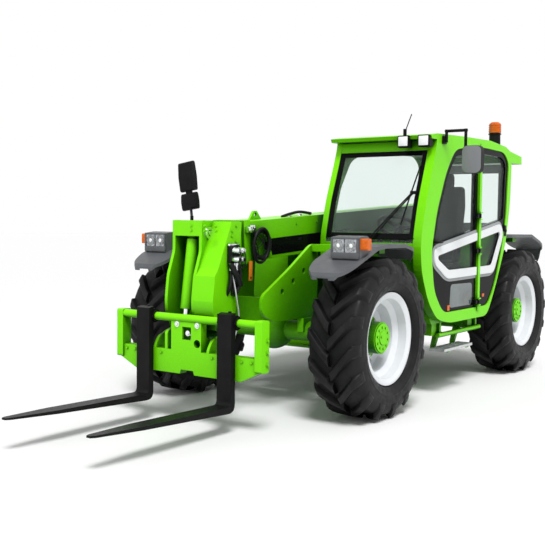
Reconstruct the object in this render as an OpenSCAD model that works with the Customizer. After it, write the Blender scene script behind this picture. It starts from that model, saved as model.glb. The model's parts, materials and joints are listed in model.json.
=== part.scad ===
// Compact telescopic handler with side cab, two-stage boom, fork carriage and four steered wheels.
// Axes: X forward, Y left, Z up. Machine positions are taken from midway between the axles on the ground.

/* [Wheels] */
// Distance between the axles
wheelbase = 2700; // [2500:5:2900]
// Width over the tyres
overall_w = 2100; // [2000:5:2200]
// Tyre diameter over the lugs
tyre_d = 1170; // [1100:2:1200]
// Tyre section width
tyre_w = 405; // [360:1:420]
// Height of the tyre lugs
lug_h = 38; // [20:1:45]
// Lugs on each side of the tread
lug_n = 16; // [12:1:18]
// Sweep of a lug from the middle of the tread to the shoulder, in degrees
lug_sweep = 17; // [10:0.5:22]
// Tyre wall thickness
tyre_wall = 24; // [16:1:30]
// Rim flange diameter
rim_d = 670; // [640:1:690]
// Rim width over the flanges
rim_w = 330; // [300:1:350]
// Rim sheet thickness
rim_wall = 12; // [8:1:16]
// Wheel disc set in from the rim's outer edge
disc_inset = 215; // [180:1:240]
// Planetary hub diameter
hub_d = 230; // [200:1:260]
// Hub face set in from the rim's outer edge
hub_inset = 58; // [30:1:90]

/* [Axles] */
// Kingpin axis inside the tyre's middle
kingpin_in = 227.5; // [210:0.5:240]
// Kingpin radius
kingpin_r = 24; // [18:1:30]
// Half height between the yoke arms
yoke_gap = 115; // [100:1:130]
// Yoke arm thickness
yoke_t = 34; // [26:1:40]
// Axle tube radius
axle_r = 76; // [65:1:85]
// Differential housing radius
diff_r = 160; // [140:1:175]
// Steering arm length
steer_arm = 165; // [150:1:180]
// Steering rod radius
steer_rod_r = 19; // [14:1:24]

/* [Chassis] */
// Outer half width of the chassis plates
chassis_half = 315; // [305:1:325]
// Chassis plate thickness
plate_t = 25; // [16:1:30]
// Underside of the middle of the chassis
belly_z = 400; // [370:5:430]
// Top of the middle of the chassis, under the cab floor
deck_z = 590; // [570:1:598]
// Plate underside above the axle line
axle_rise = 105; // [95:1:115]
// Rear face of the chassis behind the rear axle
tail = 610; // [580:1:640]
// Reach of the tow hitch behind the chassis
hitch_len = 100; // [80:1:140]
// Tow pin bore radius
hitch_r = 16; // [12:1:20]

/* [Cab] */
// Cab left face
cab_left = 970; // [950:1:980]
// Cab right face
cab_right = 60; // [45:1:80]
// Side frame thickness
frame_t = 70; // [50:1:80]
// Right wall thickness
wall_t = 50; // [30:1:60]
// Glass thickness
glass_t = 8; // [5:1:10]
// Door and panel thickness
door_t = 42; // [30:1:50]
// Clearance round the door
door_gap = 6; // [5:0.5:8]
// White trim thickness
trim_t = 12; // [6:1:16]
// Hinge bar position
hinge_x = -323; // [-340:1:-300]
// Hinge bar half width
hinge_half = 22; // [16:1:28]
// Top of the cab floor
floor_top = 636; // [625:1:650]

/* [Engine pod] */
// Half length of the pod
pod_half = 590; // [560:1:600]
// Inner side of the pod
pod_in = -400; // [-420:1:-390]
// Outer side of the pod
pod_out = -1000; // [-1030:1:-960]
// Underside of the pod
pod_z = 500; // [470:1:520]
// Joint line between pod and bonnet
pod_top = 1150; // [1100:1:1180]
// Bonnet height
bonnet_h = 88; // [60:1:100]
// Pod wall thickness
pod_wall = 14; // [8:1:20]

/* [Boom] */
// Boom centre from the machine's centre plane
boom_y = -140; // [-150:1:-130]
// Boom pivot behind the rear axle
pivot_back = 200; // [150:1:250]
// Boom pivot height
pivot_z = 1440; // [1400:1:1480]
// Boom slope at rest, nose down
boom_slope = 3.6; // [2:0.1:5]
// Outer section width
boom_w = 270; // [250:1:280]
// Outer section height above the pivot line
boom_up = 175; // [150:1:190]
// Outer section depth below the pivot line
boom_down = 125; // [110:1:140]
// Outer section wall
boom_wall = 12; // [8:1:16]
// Outer section's end ahead of the front axle
boom_nose = 410; // [380:1:430]
// Gap between the sections
slide_gap = 14; // [10:1:18]
// Wear pad clearance
pad_gap = 1; // [0.5:0.1:2]
// Inner section wall
inner_wall = 10; // [8:1:14]
// Inner section's rear end
inner_start = 300; // [250:5:400]

/* [Cylinders] */
// Lift cylinder foot ahead of the rear axle
lift_foot = 0; // [-20:1:20]
// Lift cylinder foot height
lift_foot_z = 839; // [825:1:850]
// Lift rod pin position
lift_eye_x = -250; // [-270:1:-230]
// Lift rod pin height
lift_eye_z = 1052; // [1040:1:1060]
// Lift barrel radius
lift_r = 60; // [50:1:65]
// Lift rod radius
lift_rod_r = 38; // [30:1:42]
// Tilt cylinder top pin position
tilt_top_x = 2150; // [2140:1:2155]
// Tilt cylinder top pin height
tilt_top_z = 1327; // [1320:1:1335]
// Tilt rod pin position
tilt_eye_x = 2248; // [2240:1:2254]
// Tilt rod pin height
tilt_eye_z = 652; // [645:1:660]
// Tilt barrel radius
tilt_r = 48; // [40:1:54]
// Tilt rod radius
tilt_rod_r = 27; // [22:1:32]
// Clearance between rod and gland, and at the pins
pin_gap = 0.5; // [0.3:0.1:1]

/* [Carriage] */
// Carriage pivot position
tilt_x = 2150; // [2140:1:2160]
// Carriage pivot height
tilt_z = 612; // [605:1:620]
// Carriage pivot pin radius
tilt_pin_r = 30; // [24:1:36]
// Half width of the carriage
carriage_half = 650; // [620:1:680]
// Fork shaft radius
shaft_r = 28; // [22:1:32]
// Fork shaft axis behind the shanks
shaft_set = 15; // [10:1:20]
// Fork shaft height
shaft_z = 742; // [735:1:755]
// Rear face of the fork shanks
fork_back = 2393; // [2385:1:2400]
// Fork shank and heel thickness
fork_t = 45; // [35:1:50]
// Fork width
fork_w = 120; // [100:1:150]
// Fork blade length from the shank face
fork_len = 1200; // [1000:10:1200]
// Top of the blade at the heel
blade_z = 195; // [185:1:205]
// Top of the shanks
shank_top = 809; // [800:1:815]
// Fork spacing between centres
fork_pitch = 730; // [700:1:800]

/* [Hidden] */
axle_x = wheelbase / 2;
hub_z = tyre_d / 2;
tyre_y = (overall_w - tyre_w) / 2;
kingpin_y = tyre_y - kingpin_in;
axle_seat_z = hub_z + axle_rise;
fa = axle_x;
ra = -axle_x;
rear_x = ra - tail;
pivot_x = ra - pivot_back;
boom_len = fa + boom_nose - pivot_x;
lift_foot_x = ra + lift_foot;
shaft_x = fork_back - shaft_set;
beam_x = fork_back - 70;
fork_face = fork_back + fork_t;
fork_tip = fork_face + fork_len;
hitch_x = rear_x - hitch_len;
mid_x = (fork_tip + hitch_x) / 2;
rim_out = tyre_y + rim_w / 2;
disc_y = rim_out - disc_inset;
hub_face = rim_out - hub_inset;
plate_in = chassis_half - plate_t;
boom_l = boom_y + boom_w / 2;
boom_r = boom_y - boom_w / 2;
in_w = boom_w - 2 * (boom_wall + slide_gap);
in_up = boom_up - boom_wall - slide_gap;
in_down = boom_down - boom_wall - slide_gap;
lift_a = atan2(lift_eye_z - lift_foot_z, lift_eye_x - lift_foot_x);
lift_len = norm([lift_eye_z - lift_foot_z, lift_eye_x - lift_foot_x]);
tilt_a = atan2(tilt_top_z - tilt_eye_z, tilt_eye_x - tilt_top_x);
tilt_len = norm([tilt_top_z - tilt_eye_z, tilt_eye_x - tilt_top_x]);
frame_in = cab_left - frame_t;
wall_in = cab_right + wall_t;
door_out = cab_left - 10;
door_in = door_out - door_t;
bar_rear = hinge_x - hinge_half;
bar_front = hinge_x + hinge_half;
lime = "yellowgreen";
dark = "dimgray";
black = "black";
lid_y = pod_in + 18;
head_x = 2230;
box_y = 165;
beacon_z = 2130;
hinge_z = [740, 1180, 1480];
swing_x = bar_front + 11;
swing_y = cab_left + 20;
function tub_x(z) = 439.6 + (z - 656) * 120 / 560;
function corner(a, q, b, r, n) = let (la = norm(a - q), lb = norm(b - q), t = min(r, 0.48 * la, 0.48 * lb))
    [for (k = [0:n]) let (s = k / n) (1 - s) * (1 - s) * (q + (a - q) * t / la) + 2 * s * (1 - s) * q
    + s * s * (q + (b - q) * t / lb)];
function rounded(p, r, n = 4) = [for (i = [0:len(p) - 1])
    each corner(p[(i + len(p) - 1) % len(p)], p[i], p[(i + 1) % len(p)], r, n)];

// Cab side outline, opening and the edges shared with the glass
a_pillar = [[800, 1272], [722, 1577], [604, 1880], [562, 2000], [548, 2068]];
rear_edge = [[-951, 1240], [-1036, 1609], [-1050, 1975]];
cab_outline = rounded(concat([[800, 1272], [777, 1042], [650, 800], [484, 646], [237, 600], [-544, 600],
    [-690, 793], [-800, 969]], rear_edge, [[-1005, 2068], [-900, 2112], [-540, 2140], [0, 2132], [540, 2115]],
    [for (i = [4:-1:1]) a_pillar[i]]), 90);
cab_gap = rounded([[200, 2015], [-130, 2055], [-400, 2070], [-860, 2060], [-985, 1970], [-965, 1790], [-945, 1470],
    [-845, 1152], [-720, 884], [-560, 692], [373, 692], [544, 873], [606, 1190], [523, 1502], [365, 1822]], 90);
right_gap = rounded([[150, 2020], [-860, 2050], [-985, 1960], [-965, 1790], [-945, 1480], [-905, 1330], [690, 1330],
    [560, 1700], [400, 1930]], 60);
trim_outer = rounded([[552, 1212], [-821, 1415], [-885, 1315], [-671, 977], [304, 964], [549, 1094]], 55);
trim_inner = rounded([[486, 1156], [-788, 1344], [-816, 1308], [-634, 1044], [284, 1034], [484, 1126]], 40);
upper_pane = rounded([[536, 1246], [466, 1490], [316, 1790], [168, 1965], [-135, 2006], [-400, 2020], [-845, 2010],
    [-932, 1945], [-914, 1790], [-896, 1478], [-880, 1455]], 60);

module machine() translate([-mid_x, 0, 0]) children();
module xz(p, y0, y1) translate([0, y1, 0]) rotate([90, 0, 0]) linear_extrude(y1 - y0) polygon(p);
module yz(p, x0, x1) translate([x0, 0, 0]) rotate([90, 0, 90]) linear_extrude(x1 - x0) polygon(p);
module span(x, y, z) translate([x[0], y[0], z[0]]) cube([x[1] - x[0], y[1] - y[0], z[1] - z[0]]);
module ycyl(x, z, r, y0, y1) translate([x, y1, z]) rotate([90, 0, 0]) cylinder(r = r, h = y1 - y0, $fn = 64);
module both_sides() { children(); mirror([0, 1, 0]) children(); }
module boom_frame() translate([pivot_x, boom_y, pivot_z]) rotate([0, boom_slope, 0]) children();
module lift_frame() translate([lift_foot_x, boom_y, lift_foot_z]) rotate([0, -lift_a, 0]) children();
module tilt_frame() translate([tilt_top_x, boom_y, tilt_top_z]) rotate([0, tilt_a, 0]) children();
module xcyl(r, x0, x1) translate([x0, 0, 0]) rotate([0, 90, 0]) cylinder(r = r, h = x1 - x0, $fn = 64);
module half(x0, x1) intersection() { children(); span([x0, x1], [0, 1200], [0, 2400]); }

// Chassis
side_plate = [[rear_x, 520], [rear_x, 1000], [ra - 440, tyre_d + 128], [ra + 120, tyre_d + 128], [ra + 310, 900],
    [ra + 450, deck_z], [fa - 650, deck_z], [fa - 470, 800], [fa - 115, 800], [fa - 134, 1094], [fa - 110, tyre_d + 74],
    [fa - 30, tyre_d + 74], [fa + 250, 1072], [fa + 600, 883], [fa + 600, 760], [fa + 450, axle_seat_z],
    [fa - 250, axle_seat_z], [fa - 470, belly_z], [ra + 470, belly_z], [ra + 250, axle_seat_z], [ra - 270, axle_seat_z],
    [ra - 430, 520]];
tower = rounded([[ra - 430, 700], [ra - 430, 1380], [ra - 330, 1560], [ra - 80, 1560], [ra + 110, 1280], [ra + 110, 800],
    [ra - 150, 800]], 50);
tower_l = boom_l + 10;

module chassis_sides() machine() color(lime) difference() {
    union() {
        both_sides() xz(rounded(side_plate, 45), plate_in, chassis_half);
        xz(tower, -chassis_half, -plate_in);
        ycyl(pivot_x, pivot_z, 70, -chassis_half - 12, boom_r - 5);
        ycyl(pivot_x, pivot_z, 40, -chassis_half - 12, tower_l + plate_t + 12);
    }
    both_sides() for (x = [70, 210, 350])
        ycyl(fa + x, 905 + (350 - x) * 0.5, 22, plate_in - 1, chassis_half + 1);
}
module chassis_members() machine() color(lime) {
    span([ra + 350, fa - 330], [-plate_in, plate_in], [belly_z, belly_z + 20]);
    span([rear_x, rear_x + 40], [-plate_in, plate_in], [520, 1000]);
    span([fa + 410, fa + 435], [-plate_in, plate_in], [axle_seat_z, 860]);
    // left boom tower with its cross plates and the lift cylinder foot
    difference() {
        union() {
            xz(tower, tower_l, tower_l + plate_t);
            ycyl(pivot_x, pivot_z, 70, boom_l + 5, tower_l + plate_t + 12);
        }
        ycyl(pivot_x, pivot_z, 40 + pin_gap, boom_l, tower_l + plate_t + 13);
    }
    span([ra - 430, ra - 405], [-plate_in, plate_in], [640, 1250]);
    for (s = [-1, 1]) foot_ear(s);
    ycyl(lift_foot_x, lift_foot_z, 27, boom_y - 70, boom_y + 70);
    span([ra - 100, ra + 300], [-plate_in, plate_in], [axle_seat_z + 68, axle_seat_z + 88]);
    // outriggers for cab, pod, step and fenders
    for (x = [-420, 300]) span([x, x + 90], [chassis_half, 880], [500, floor_under()]);
    for (x = [-400, 310]) span([x, x + 90], [pod_out + 40, -chassis_half], [pod_z - 80, pod_z]);
    both_sides() span([fa - 110, fa - 30], [chassis_half, 900], [tyre_d + 20, tyre_d + 74]);
    both_sides() span([ra - 40, ra + 40], [chassis_half, 900], [tyre_d + 70, tyre_d + 128]);
    translate([-520, 905, 500]) rotate([0, 90, 0]) cylinder(r = 20, h = 850, $fn = 48);
    for (x = [-480, 250]) span([x, x + 30], [840, 900], [495, floor_under()]);
    for (x = [-180, 200]) yz([[894, 490], [894, 512], [830, 545], [800, 400], [800, step_z], [960, step_z],
        [960, step_z + 14], [828, step_z + 14], [862, 490]], x, x + 40);
}
function floor_under() = floor_top - 36;
step_z = 356;
module foot_ear(s) xz([[lift_foot_x - 60, axle_seat_z + 80], [lift_foot_x - 45, lift_foot_z + 45],
    [lift_foot_x + 45, lift_foot_z + 45], [lift_foot_x + 60, axle_seat_z + 80]],
    boom_y + (s > 0 ? 36 : -66), boom_y + (s > 0 ? 66 : -36));

module axle(d) {
    difference() {
        union() {
            ycyl(0, hub_z, axle_r, -kingpin_y + 75, kingpin_y - 75);
            translate([0, 0, hub_z]) sphere(r = diff_r, $fn = 72);
            both_sides() {
                span([-70, 70], [kingpin_y - 110, kingpin_y - 75], [hub_z - yoke_gap - yoke_t, hub_z + yoke_gap + yoke_t]);
                for (s = [0, 1]) mirror([0, 0, s]) translate([0, 0, s ? -hub_z : hub_z]) {
                    span([-50, 50], [kingpin_y - 80, kingpin_y], [yoke_gap, yoke_gap + yoke_t]);
                    translate([0, kingpin_y, yoke_gap]) cylinder(r = 50, h = yoke_t, $fn = 48);
                }
                span([-90, 90], [plate_in - 15, chassis_half + 15], [hub_z, axle_seat_z]);
            }
            // steering ram carried on the axle
            ycyl(d * steer_arm, hub_z + 45, 42, -200, 200);
            span([d > 0 ? 0 : -steer_arm, d > 0 ? steer_arm : 0], [-150, 150], [hub_z + 20, hub_z + 60]);
        }
        both_sides() translate([0, kingpin_y, hub_z - 300])
            cylinder(r = kingpin_r + pin_gap, h = 600, $fn = 48);
        ycyl(d * steer_arm, hub_z + 45, steer_rod_r + pin_gap, -201, 201);
    }
}
module front_axle() machine() color(dark) translate([axle_x, 0, 0]) axle(-1);
module rear_axle() machine() color(dark) translate([-axle_x, 0, 0]) axle(1);
module steer_rod(d) {
    ycyl(d * steer_arm, hub_z + 45, steer_rod_r, -kingpin_y, kingpin_y);
    both_sides() translate([d * steer_arm, kingpin_y, hub_z + 25]) cylinder(r = 30, h = 40, $fn = 48);
}
module steer_rod_front() machine() color("silver") translate([axle_x, 0, 0]) steer_rod(-1);
module steer_rod_rear() machine() color("silver") translate([-axle_x, 0, 0]) steer_rod(1);

// Wheels, drawn for the left side with the outer side to +Y
module knuckle(d) {
    ycyl(0, hub_z, 100, kingpin_y - 10, disc_y - 8);
    translate([0, kingpin_y, hub_z - yoke_gap + 5]) cylinder(r = 48, h = 2 * yoke_gap - 10, $fn = 48);
    translate([0, kingpin_y, hub_z - yoke_gap - yoke_t]) cylinder(r = kingpin_r, h = 2 * (yoke_gap + yoke_t), $fn = 48);
    ycyl(0, hub_z, 45, kingpin_y, hub_face - 60);
    translate([d > 0 ? 0 : -steer_arm, kingpin_y - 24, hub_z - 20]) cube([steer_arm, 48, 40]);
    translate([d * steer_arm, kingpin_y, hub_z - 20]) cylinder(r = 34, h = 40, $fn = 48);
}
module knuckle_front_left() machine() color(dark) translate([axle_x, 0, 0]) knuckle(-1);
module knuckle_front_right() machine() color(dark) translate([axle_x, 0, 0]) mirror([0, 1, 0]) knuckle(-1);
module knuckle_rear_left() machine() color(dark) translate([-axle_x, 0, 0]) knuckle(1);
module knuckle_rear_right() machine() color(dark) translate([-axle_x, 0, 0]) mirror([0, 1, 0]) knuckle(1);

module spun(p) translate([0, tyre_y, hub_z]) rotate([-90, 0, 0]) rotate_extrude($fn = 96) polygon(p);
hw = tyre_w / 2;
seat_r = rim_d / 2 - 34;
tread_r = tyre_d / 2;
wall_h = tread_r - rim_d / 2;
side_n = 2 * lug_n;
step_a = 360 / side_n;
flank_a = 2.4;
chord = cos(step_a / 2);
base_r = tread_r - lug_h;
// Rings of one half: half width, radius and lag of each, from the tread to the inside
rings = [[hw - 46, base_r - 3, lug_sweep], [hw - 6, tread_r - 0.36 * wall_h, lug_sweep * 1.12],
    [hw, tread_r - 0.6 * wall_h, lug_sweep * 1.12], [rim_w / 2 + 2, rim_d / 2 + 8, lug_sweep * 1.12],
    [rim_w / 2 - 16, (rim_d / 2 + 2) / chord, lug_sweep * 1.12],
    [rim_w / 2 - 16, (seat_r + 0.4) / chord, lug_sweep * 1.12],
    [rim_w / 2 - 14 - tyre_wall, (seat_r + 0.4) / chord, lug_sweep * 1.12],
    [hw - tyre_wall - 20, base_r - tyre_wall - 6, lug_sweep * 1.12],
    [0, tread_r / cos(step_a / 2 - flank_a), 0], [hw - 46, tread_r - 5, lug_sweep],
    [hw - 2, tread_r - 0.36 * wall_h + 16, lug_sweep * 1.12]];
function at(y, r, a) = [r * sin(a), y, r * cos(a)];
function ring_a(k) = (k - 0.5) * step_a;
function tyre_points() = concat([for (k = [0:side_n - 1]) at(0, base_r, ring_a(k))],
    [for (s = [0, 1], m = [0:10], k = [0:side_n - 1]) at((s ? -1 : 1) * rings[m][0], rings[m][1], ring_a(k) - rings[m][2]
        + (m < 8 ? 0 : (k + s) % 2 == 0 ? flank_a : -flank_a))]);
function id(s, m, k) = (m < 0 ? 0 : 1 + 11 * s + m) * side_n + (k + side_n) % side_n;
function low(s, j, k) = id(s, j - 1, k);
function high(s, j, k) = id(s, j + 8, k);
function facing(s, q) = s ? [[q[2], q[1], q[0]], [q[3], q[2], q[0]]] : [[q[0], q[1], q[2]], [q[0], q[2], q[3]]];
function tread_quads(s, k) = (k + s) % 2 == 0 ? concat(
    [for (j = [0, 1]) each [[low(s, j, k), low(s, j + 1, k), high(s, j + 1, k), high(s, j, k)],
        [high(s, j, k), high(s, j + 1, k), high(s, j + 1, k + 1), high(s, j, k + 1)],
        [high(s, j, k + 1), high(s, j + 1, k + 1), low(s, j + 1, k + 1), low(s, j, k + 1)]]],
    [[high(s, 0, k), high(s, 0, k + 1), low(s, 0, k + 1), low(s, 0, k)],
        [high(s, 2, k + 1), high(s, 2, k), low(s, 2, k), low(s, 2, k + 1)]])
    : [for (j = [0, 1]) [low(s, j, k), low(s, j + 1, k), low(s, j + 1, k + 1), low(s, j, k + 1)]];
function tyre_faces() = concat([for (s = [0, 1], k = [0:side_n - 1]) each concat(
    [for (q = tread_quads(s, k)) each facing(s, q)],
    [for (m = [1:6]) each facing(s, [id(s, m, k), id(s, m + 1, k), id(s, m + 1, k + 1), id(s, m, k + 1)])])],
    [for (k = [0:side_n - 1]) each facing(0, [id(0, 7, k), id(1, 7, k), id(1, 7, k + 1), id(0, 7, k + 1)])]);
module tyre() color(black) translate([0, tyre_y, hub_z]) polyhedron(tyre_points(), tyre_faces());
module tyre_front_left() machine() translate([axle_x, 0, 0]) tyre();
module tyre_front_right() machine() translate([axle_x, 0, 0]) mirror([0, 1, 0]) tyre();
module tyre_rear_left() machine() translate([-axle_x, 0, 0]) tyre();
module tyre_rear_right() machine() translate([-axle_x, 0, 0]) mirror([0, 1, 0]) tyre();

drop_r = seat_r - 38;
disc_a = disc_y - tyre_y;
module rim() color("whitesmoke") difference() {
    spun([[rim_d / 2, -rim_w / 2], [rim_d / 2, -rim_w / 2 + 12], [seat_r, -rim_w / 2 + 14], [seat_r, -rim_w / 2 + 70],
        [drop_r, -rim_w / 2 + 95], [drop_r, rim_w / 2 - 120], [seat_r, rim_w / 2 - 90], [seat_r, rim_w / 2 - 14],
        [rim_d / 2, rim_w / 2 - 12], [rim_d / 2, rim_w / 2], [rim_d / 2 - 14, rim_w / 2],
        [seat_r - rim_wall, rim_w / 2 - 16], [seat_r - rim_wall, rim_w / 2 - 84],
        [drop_r - rim_wall, rim_w / 2 - 114], [drop_r - rim_wall, disc_a + 14], [hub_d / 2 - 40, disc_a + 14],
        [hub_d / 2 - 40, disc_a], [drop_r - rim_wall, disc_a], [drop_r - rim_wall, -rim_w / 2 + 90],
        [seat_r - rim_wall, -rim_w / 2 + 64], [seat_r - rim_wall, -rim_w / 2 + 16], [rim_d / 2 - 14, -rim_w / 2]]);
    for (a = [0:45:359]) translate([0, disc_y - 1, hub_z]) rotate([0, a + 22.5, 0]) translate([205, 0, 0])
        rotate([-90, 0, 0]) cylinder(r = 20, h = 20, $fn = 32);
}
module rim_front_left() machine() translate([axle_x, 0, 0]) rim();
module rim_front_right() machine() translate([axle_x, 0, 0]) mirror([0, 1, 0]) rim();
module rim_rear_left() machine() translate([-axle_x, 0, 0]) rim();
module rim_rear_right() machine() translate([-axle_x, 0, 0]) mirror([0, 1, 0]) rim();

module hub() color(lime) difference() {
    union() {
        ycyl(0, hub_z, hub_d / 2 + 45, disc_y + 14, disc_y + 34);
        ycyl(0, hub_z, hub_d / 2, disc_y + 30, hub_face - 8);
        ycyl(0, hub_z, hub_d / 2 - 10, hub_face - 9, hub_face);
        ycyl(0, hub_z, hub_d / 2 - 41, disc_y - 2, disc_y + 31);
    }
    ycyl(0, hub_z, 45 + pin_gap, disc_y - 3, hub_face - 55);
}
module hub_front_left() machine() translate([axle_x, 0, 0]) hub();
module hub_front_right() machine() translate([axle_x, 0, 0]) mirror([0, 1, 0]) hub();
module hub_rear_left() machine() translate([-axle_x, 0, 0]) hub();
module hub_rear_right() machine() translate([-axle_x, 0, 0]) mirror([0, 1, 0]) hub();

// Cab
roof = [[640, 2068], [655, 2096], [540, 2115], [0, 2132], [-540, 2140], [-900, 2112], [-1010, 2078], [-1300, 2046],
    [-1306, 1975], [-1020, 1975], [-990, 2000], [-860, 2076], [-400, 2092], [200, 2080], [500, 2068]];
module cab_frame() machine() color(lime) {
    difference() {
        xz(cab_outline, frame_in, cab_left);
        xz(cab_gap, frame_in - 1, cab_left + 1);
    }
    difference() {
        xz(cab_outline, cab_right, wall_in);
        xz(right_gap, cab_right - 1, wall_in + 1);
    }
    xz(roof, cab_right, cab_left);
    span([bar_rear, bar_front], [door_in, cab_left + 10], [660, 2090]);
    // door hinge pins
    for (z = hinge_z) translate([swing_x, swing_y, z]) {
        translate([0, 0, -34]) cylinder(r = 7, h = 68, $fn = 32);
        for (h = [-34, 24]) translate([-34, 0, h]) span([0, 44], [cab_left + 9 - swing_y, 12], [0, 10]);
    }
}
tub = [[792, 1256], [792, 1222], [590, 1186], [470, 640], [440, floor_top - 36], [-520, floor_top - 36], [-548, 640],
    [-612, 800], [-705, 1000], [-862, 1160], [-945, 1290], [-955, 1330], [-919, 1330], [-910, 1302], [-836, 1186],
    [-672, 1018], [-580, 812], [-520, 660], [-500, floor_top], [425, floor_top], [440, 656], [560, 1216], [756, 1256]];
module cab_tub() machine() color(dark) xz(tub, wall_in, frame_in);
module windscreen() machine() color("lightblue", 0.4) xz(concat([[790, 1256], [784, 1280]],
    [for (i = [1:4]) a_pillar[i] - [6, 0]], [for (i = [4:-1:1]) a_pillar[i] - [6 + glass_t, 0]],
    [[784 - glass_t, 1280], [790 - glass_t, 1256]]), wall_in, frame_in);
module cab_glass() machine() color("lightblue", 0.4) {
    xz(right_gap, cab_right + 20, cab_right + 20 + glass_t);
    xz([[-952, 1330], [-1028, 1609], [-1042, 1975], [-1042 + glass_t, 1975], [-1028 + glass_t, 1609],
        [-952 + glass_t, 1330]], wall_in, frame_in);
    half(-2000, bar_rear - 40) xz(upper_pane, door_in + 16, door_in + 16 + glass_t);
    half(-2000, bar_rear - 40) xz(trim_inner, door_in + 16, door_in + 16 + glass_t);
}
module quarter_panel() machine() color(black) difference() {
    half(-2000, bar_rear) xz(cab_gap, door_in, door_out);
    half(-2000, bar_rear - 40) xz(upper_pane, door_in - 1, door_out + 1);
    half(-2000, bar_rear - 40) xz(trim_inner, door_in - 1, door_out + 1);
}
module trim_ring(x0, x1) half(x0, x1) difference() {
    xz(trim_outer, door_out, door_out + trim_t);
    xz(trim_inner, door_out - 1, door_out + trim_t + 1);
}
module quarter_trim() machine() color("white") trim_ring(-2000, bar_rear - 8);
module cab_interior() machine() color(dark) {
    xz([[390, 1130], [tub_x(1130), 1130], [tub_x(1208), 1208], [420, 1214]], 180, 860);
    xz([[tub_x(760), 760], [tub_x(1132), 1132], [430, 1132], [410, 900]], 420, 620);
    translate([430, 520, 1140]) rotate([0, -32, 0]) cylinder(r = 38, h = 250, $fn = 48);
    xz([[-480, floor_top], [-470, 940], [0, 940], [30, floor_top]], 300, 740);
    xz([[-490, floor_top], [-515, 1010], [150, 1040], [230, 980], [230, floor_top]], wall_in, 250);
    translate([120, 180, 1030]) cylinder(r = 16, h = 190, $fn = 32);
    translate([120, 180, 1225]) sphere(r = 34, $fn = 32);
}
module steering_wheel() machine() color(black) translate([430, 520, 1140]) rotate([0, -32, 0]) translate([0, 0, 250]) {
    translate([0, 0, 22]) rotate_extrude($fn = 72) translate([180, 0]) circle(r = 16, $fn = 32);
    cylinder(r = 45, h = 30, $fn = 48);
    for (a = [90, 210, 330]) rotate([0, 0, a]) translate([30, -14, 12]) cube([145, 28, 16]);
}
module seat_cushion() machine() color(black) span([-470, 20], [290, 750], [940, 1060]);
module seat_back() machine() color(black) xz([[-470, 1060], [-580, 1560], [-560, 1740], [-490, 1740], [-440, 1560],
    [-330, 1060]], 300, 740);
module wiper() machine() color(black) {
    translate([0, 0, 0]) xz([[806, 1256], [806, 1290], [735, 1600], [723, 1600], [790, 1290], [790, 1256]], 500, 516);
}

// Fenders and lamps
front_top = [for (p = [[-445, -20], [-395, 55], [-250, 88], [50, 88], [170, 75], [430, -20], [590, -95], [605, -120]])
    p + [fa, tyre_d]];
rear_top = [for (p = [[-635, -110], [-615, 2], [-450, 75], [-210, 142], [340, 142], [362, 130]]) p + [ra, tyre_d]];
front_plan = [for (p = [[-450, 640], [-450, 1000], [470, 1000], [590, 950], [640, 820], [590, 690], [470, 640]])
    p + [fa, 0]];
rear_plan = [for (p = [[-640, 700], [-640, 940], [-540, 1000], [370, 1000], [370, 640], [-540, 640]]) p + [ra, 0]];
guard_t = 14;
lip_t = 16;
lip_h = 27;
module sheet(p, t, y0) xz(concat(p, [for (i = [len(p) - 1:-1:0]) p[i] - [0, t]]), y0, 1000);
module plan(p) translate([0, 0, 900]) linear_extrude(700) polygon(p);
module guard(p, q) {
    intersection() { sheet(p, guard_t, 640); plan(rounded(q, 110)); }
    difference() {
        intersection() { sheet(p, lip_h, 640); plan(rounded(q, 110)); }
        plan(rounded([for (v = q) [v[0] + (v[0] > q[0][0] + 800 ? -lip_t : v[0] < q[0][0] + 60 ? -1 : 0),
            v[1] - (v[1] > 900 ? lip_t : v[1] < 700 ? 1 : 0)]], 100));
    }
}
function slope_z(x) = tyre_d + 75 - (x - fa - 170) * 95 / 260;
lamp_x = fa + 402;
module front_fenders() machine() color(dark) both_sides() {
    guard(front_top, front_plan);
    xz(rounded([[lamp_x - 152, slope_z(lamp_x - 152) - 8], [lamp_x, slope_z(lamp_x) - 8], [lamp_x + 6, tyre_d + 142],
        [lamp_x - 102, tyre_d + 154], [lamp_x - 152, tyre_d + 120]], 16), 762, 985);
}
module rear_fenders() machine() color(dark) both_sides() guard(rear_top, rear_plan);
module headlamps() machine() color("white") {
    both_sides() xz([[lamp_x + 1, slope_z(lamp_x) + 18], [lamp_x + 13, slope_z(lamp_x) + 18], [lamp_x + 17, tyre_d + 134],
        [lamp_x + 6, tyre_d + 134]], 776, 972);
    for (y = [690, 866]) span([650, 660], [y + 6, y + 86], [2012, 2062]);
}
module signal_lamps() machine() color("orange") {
    both_sides() xz(rounded([[fa + 340, tyre_d + 55], [fa + 395, tyre_d + 55], [fa + 395, tyre_d + 135],
        [fa + 340, tyre_d + 135]], 14), 985, 1040);
    translate([-925, 850, beacon_z]) cylinder(r = 46, h = 165, $fn = 48);
    translate([-925, 850, beacon_z + 165]) intersection() {
        sphere(r = 46, $fn = 48);
        cylinder(r = 60, h = 60, $fn = 48);
    }
}
module tail_lamps() machine() color("red") both_sides() span([rear_x - 30, rear_x], [180, 290], [880, 960]);
mirror_face = rounded([[1134, 1805], [1134, 2020], [1294, 2020], [1294, 1805]], 45);
far_head = [[[-30, 0], [-36, 75], [-28, 150], [18, 150], [30, 75], [24, 0]],
    [[-30, 165], [-38, 295], [-28, 425], [14, 425], [30, 295], [24, 165]]];
far_foot = [fa, -850, tyre_d + 270];
far_arm = [fa - 340, -1152, tyre_d + 350] - far_foot;
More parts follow.
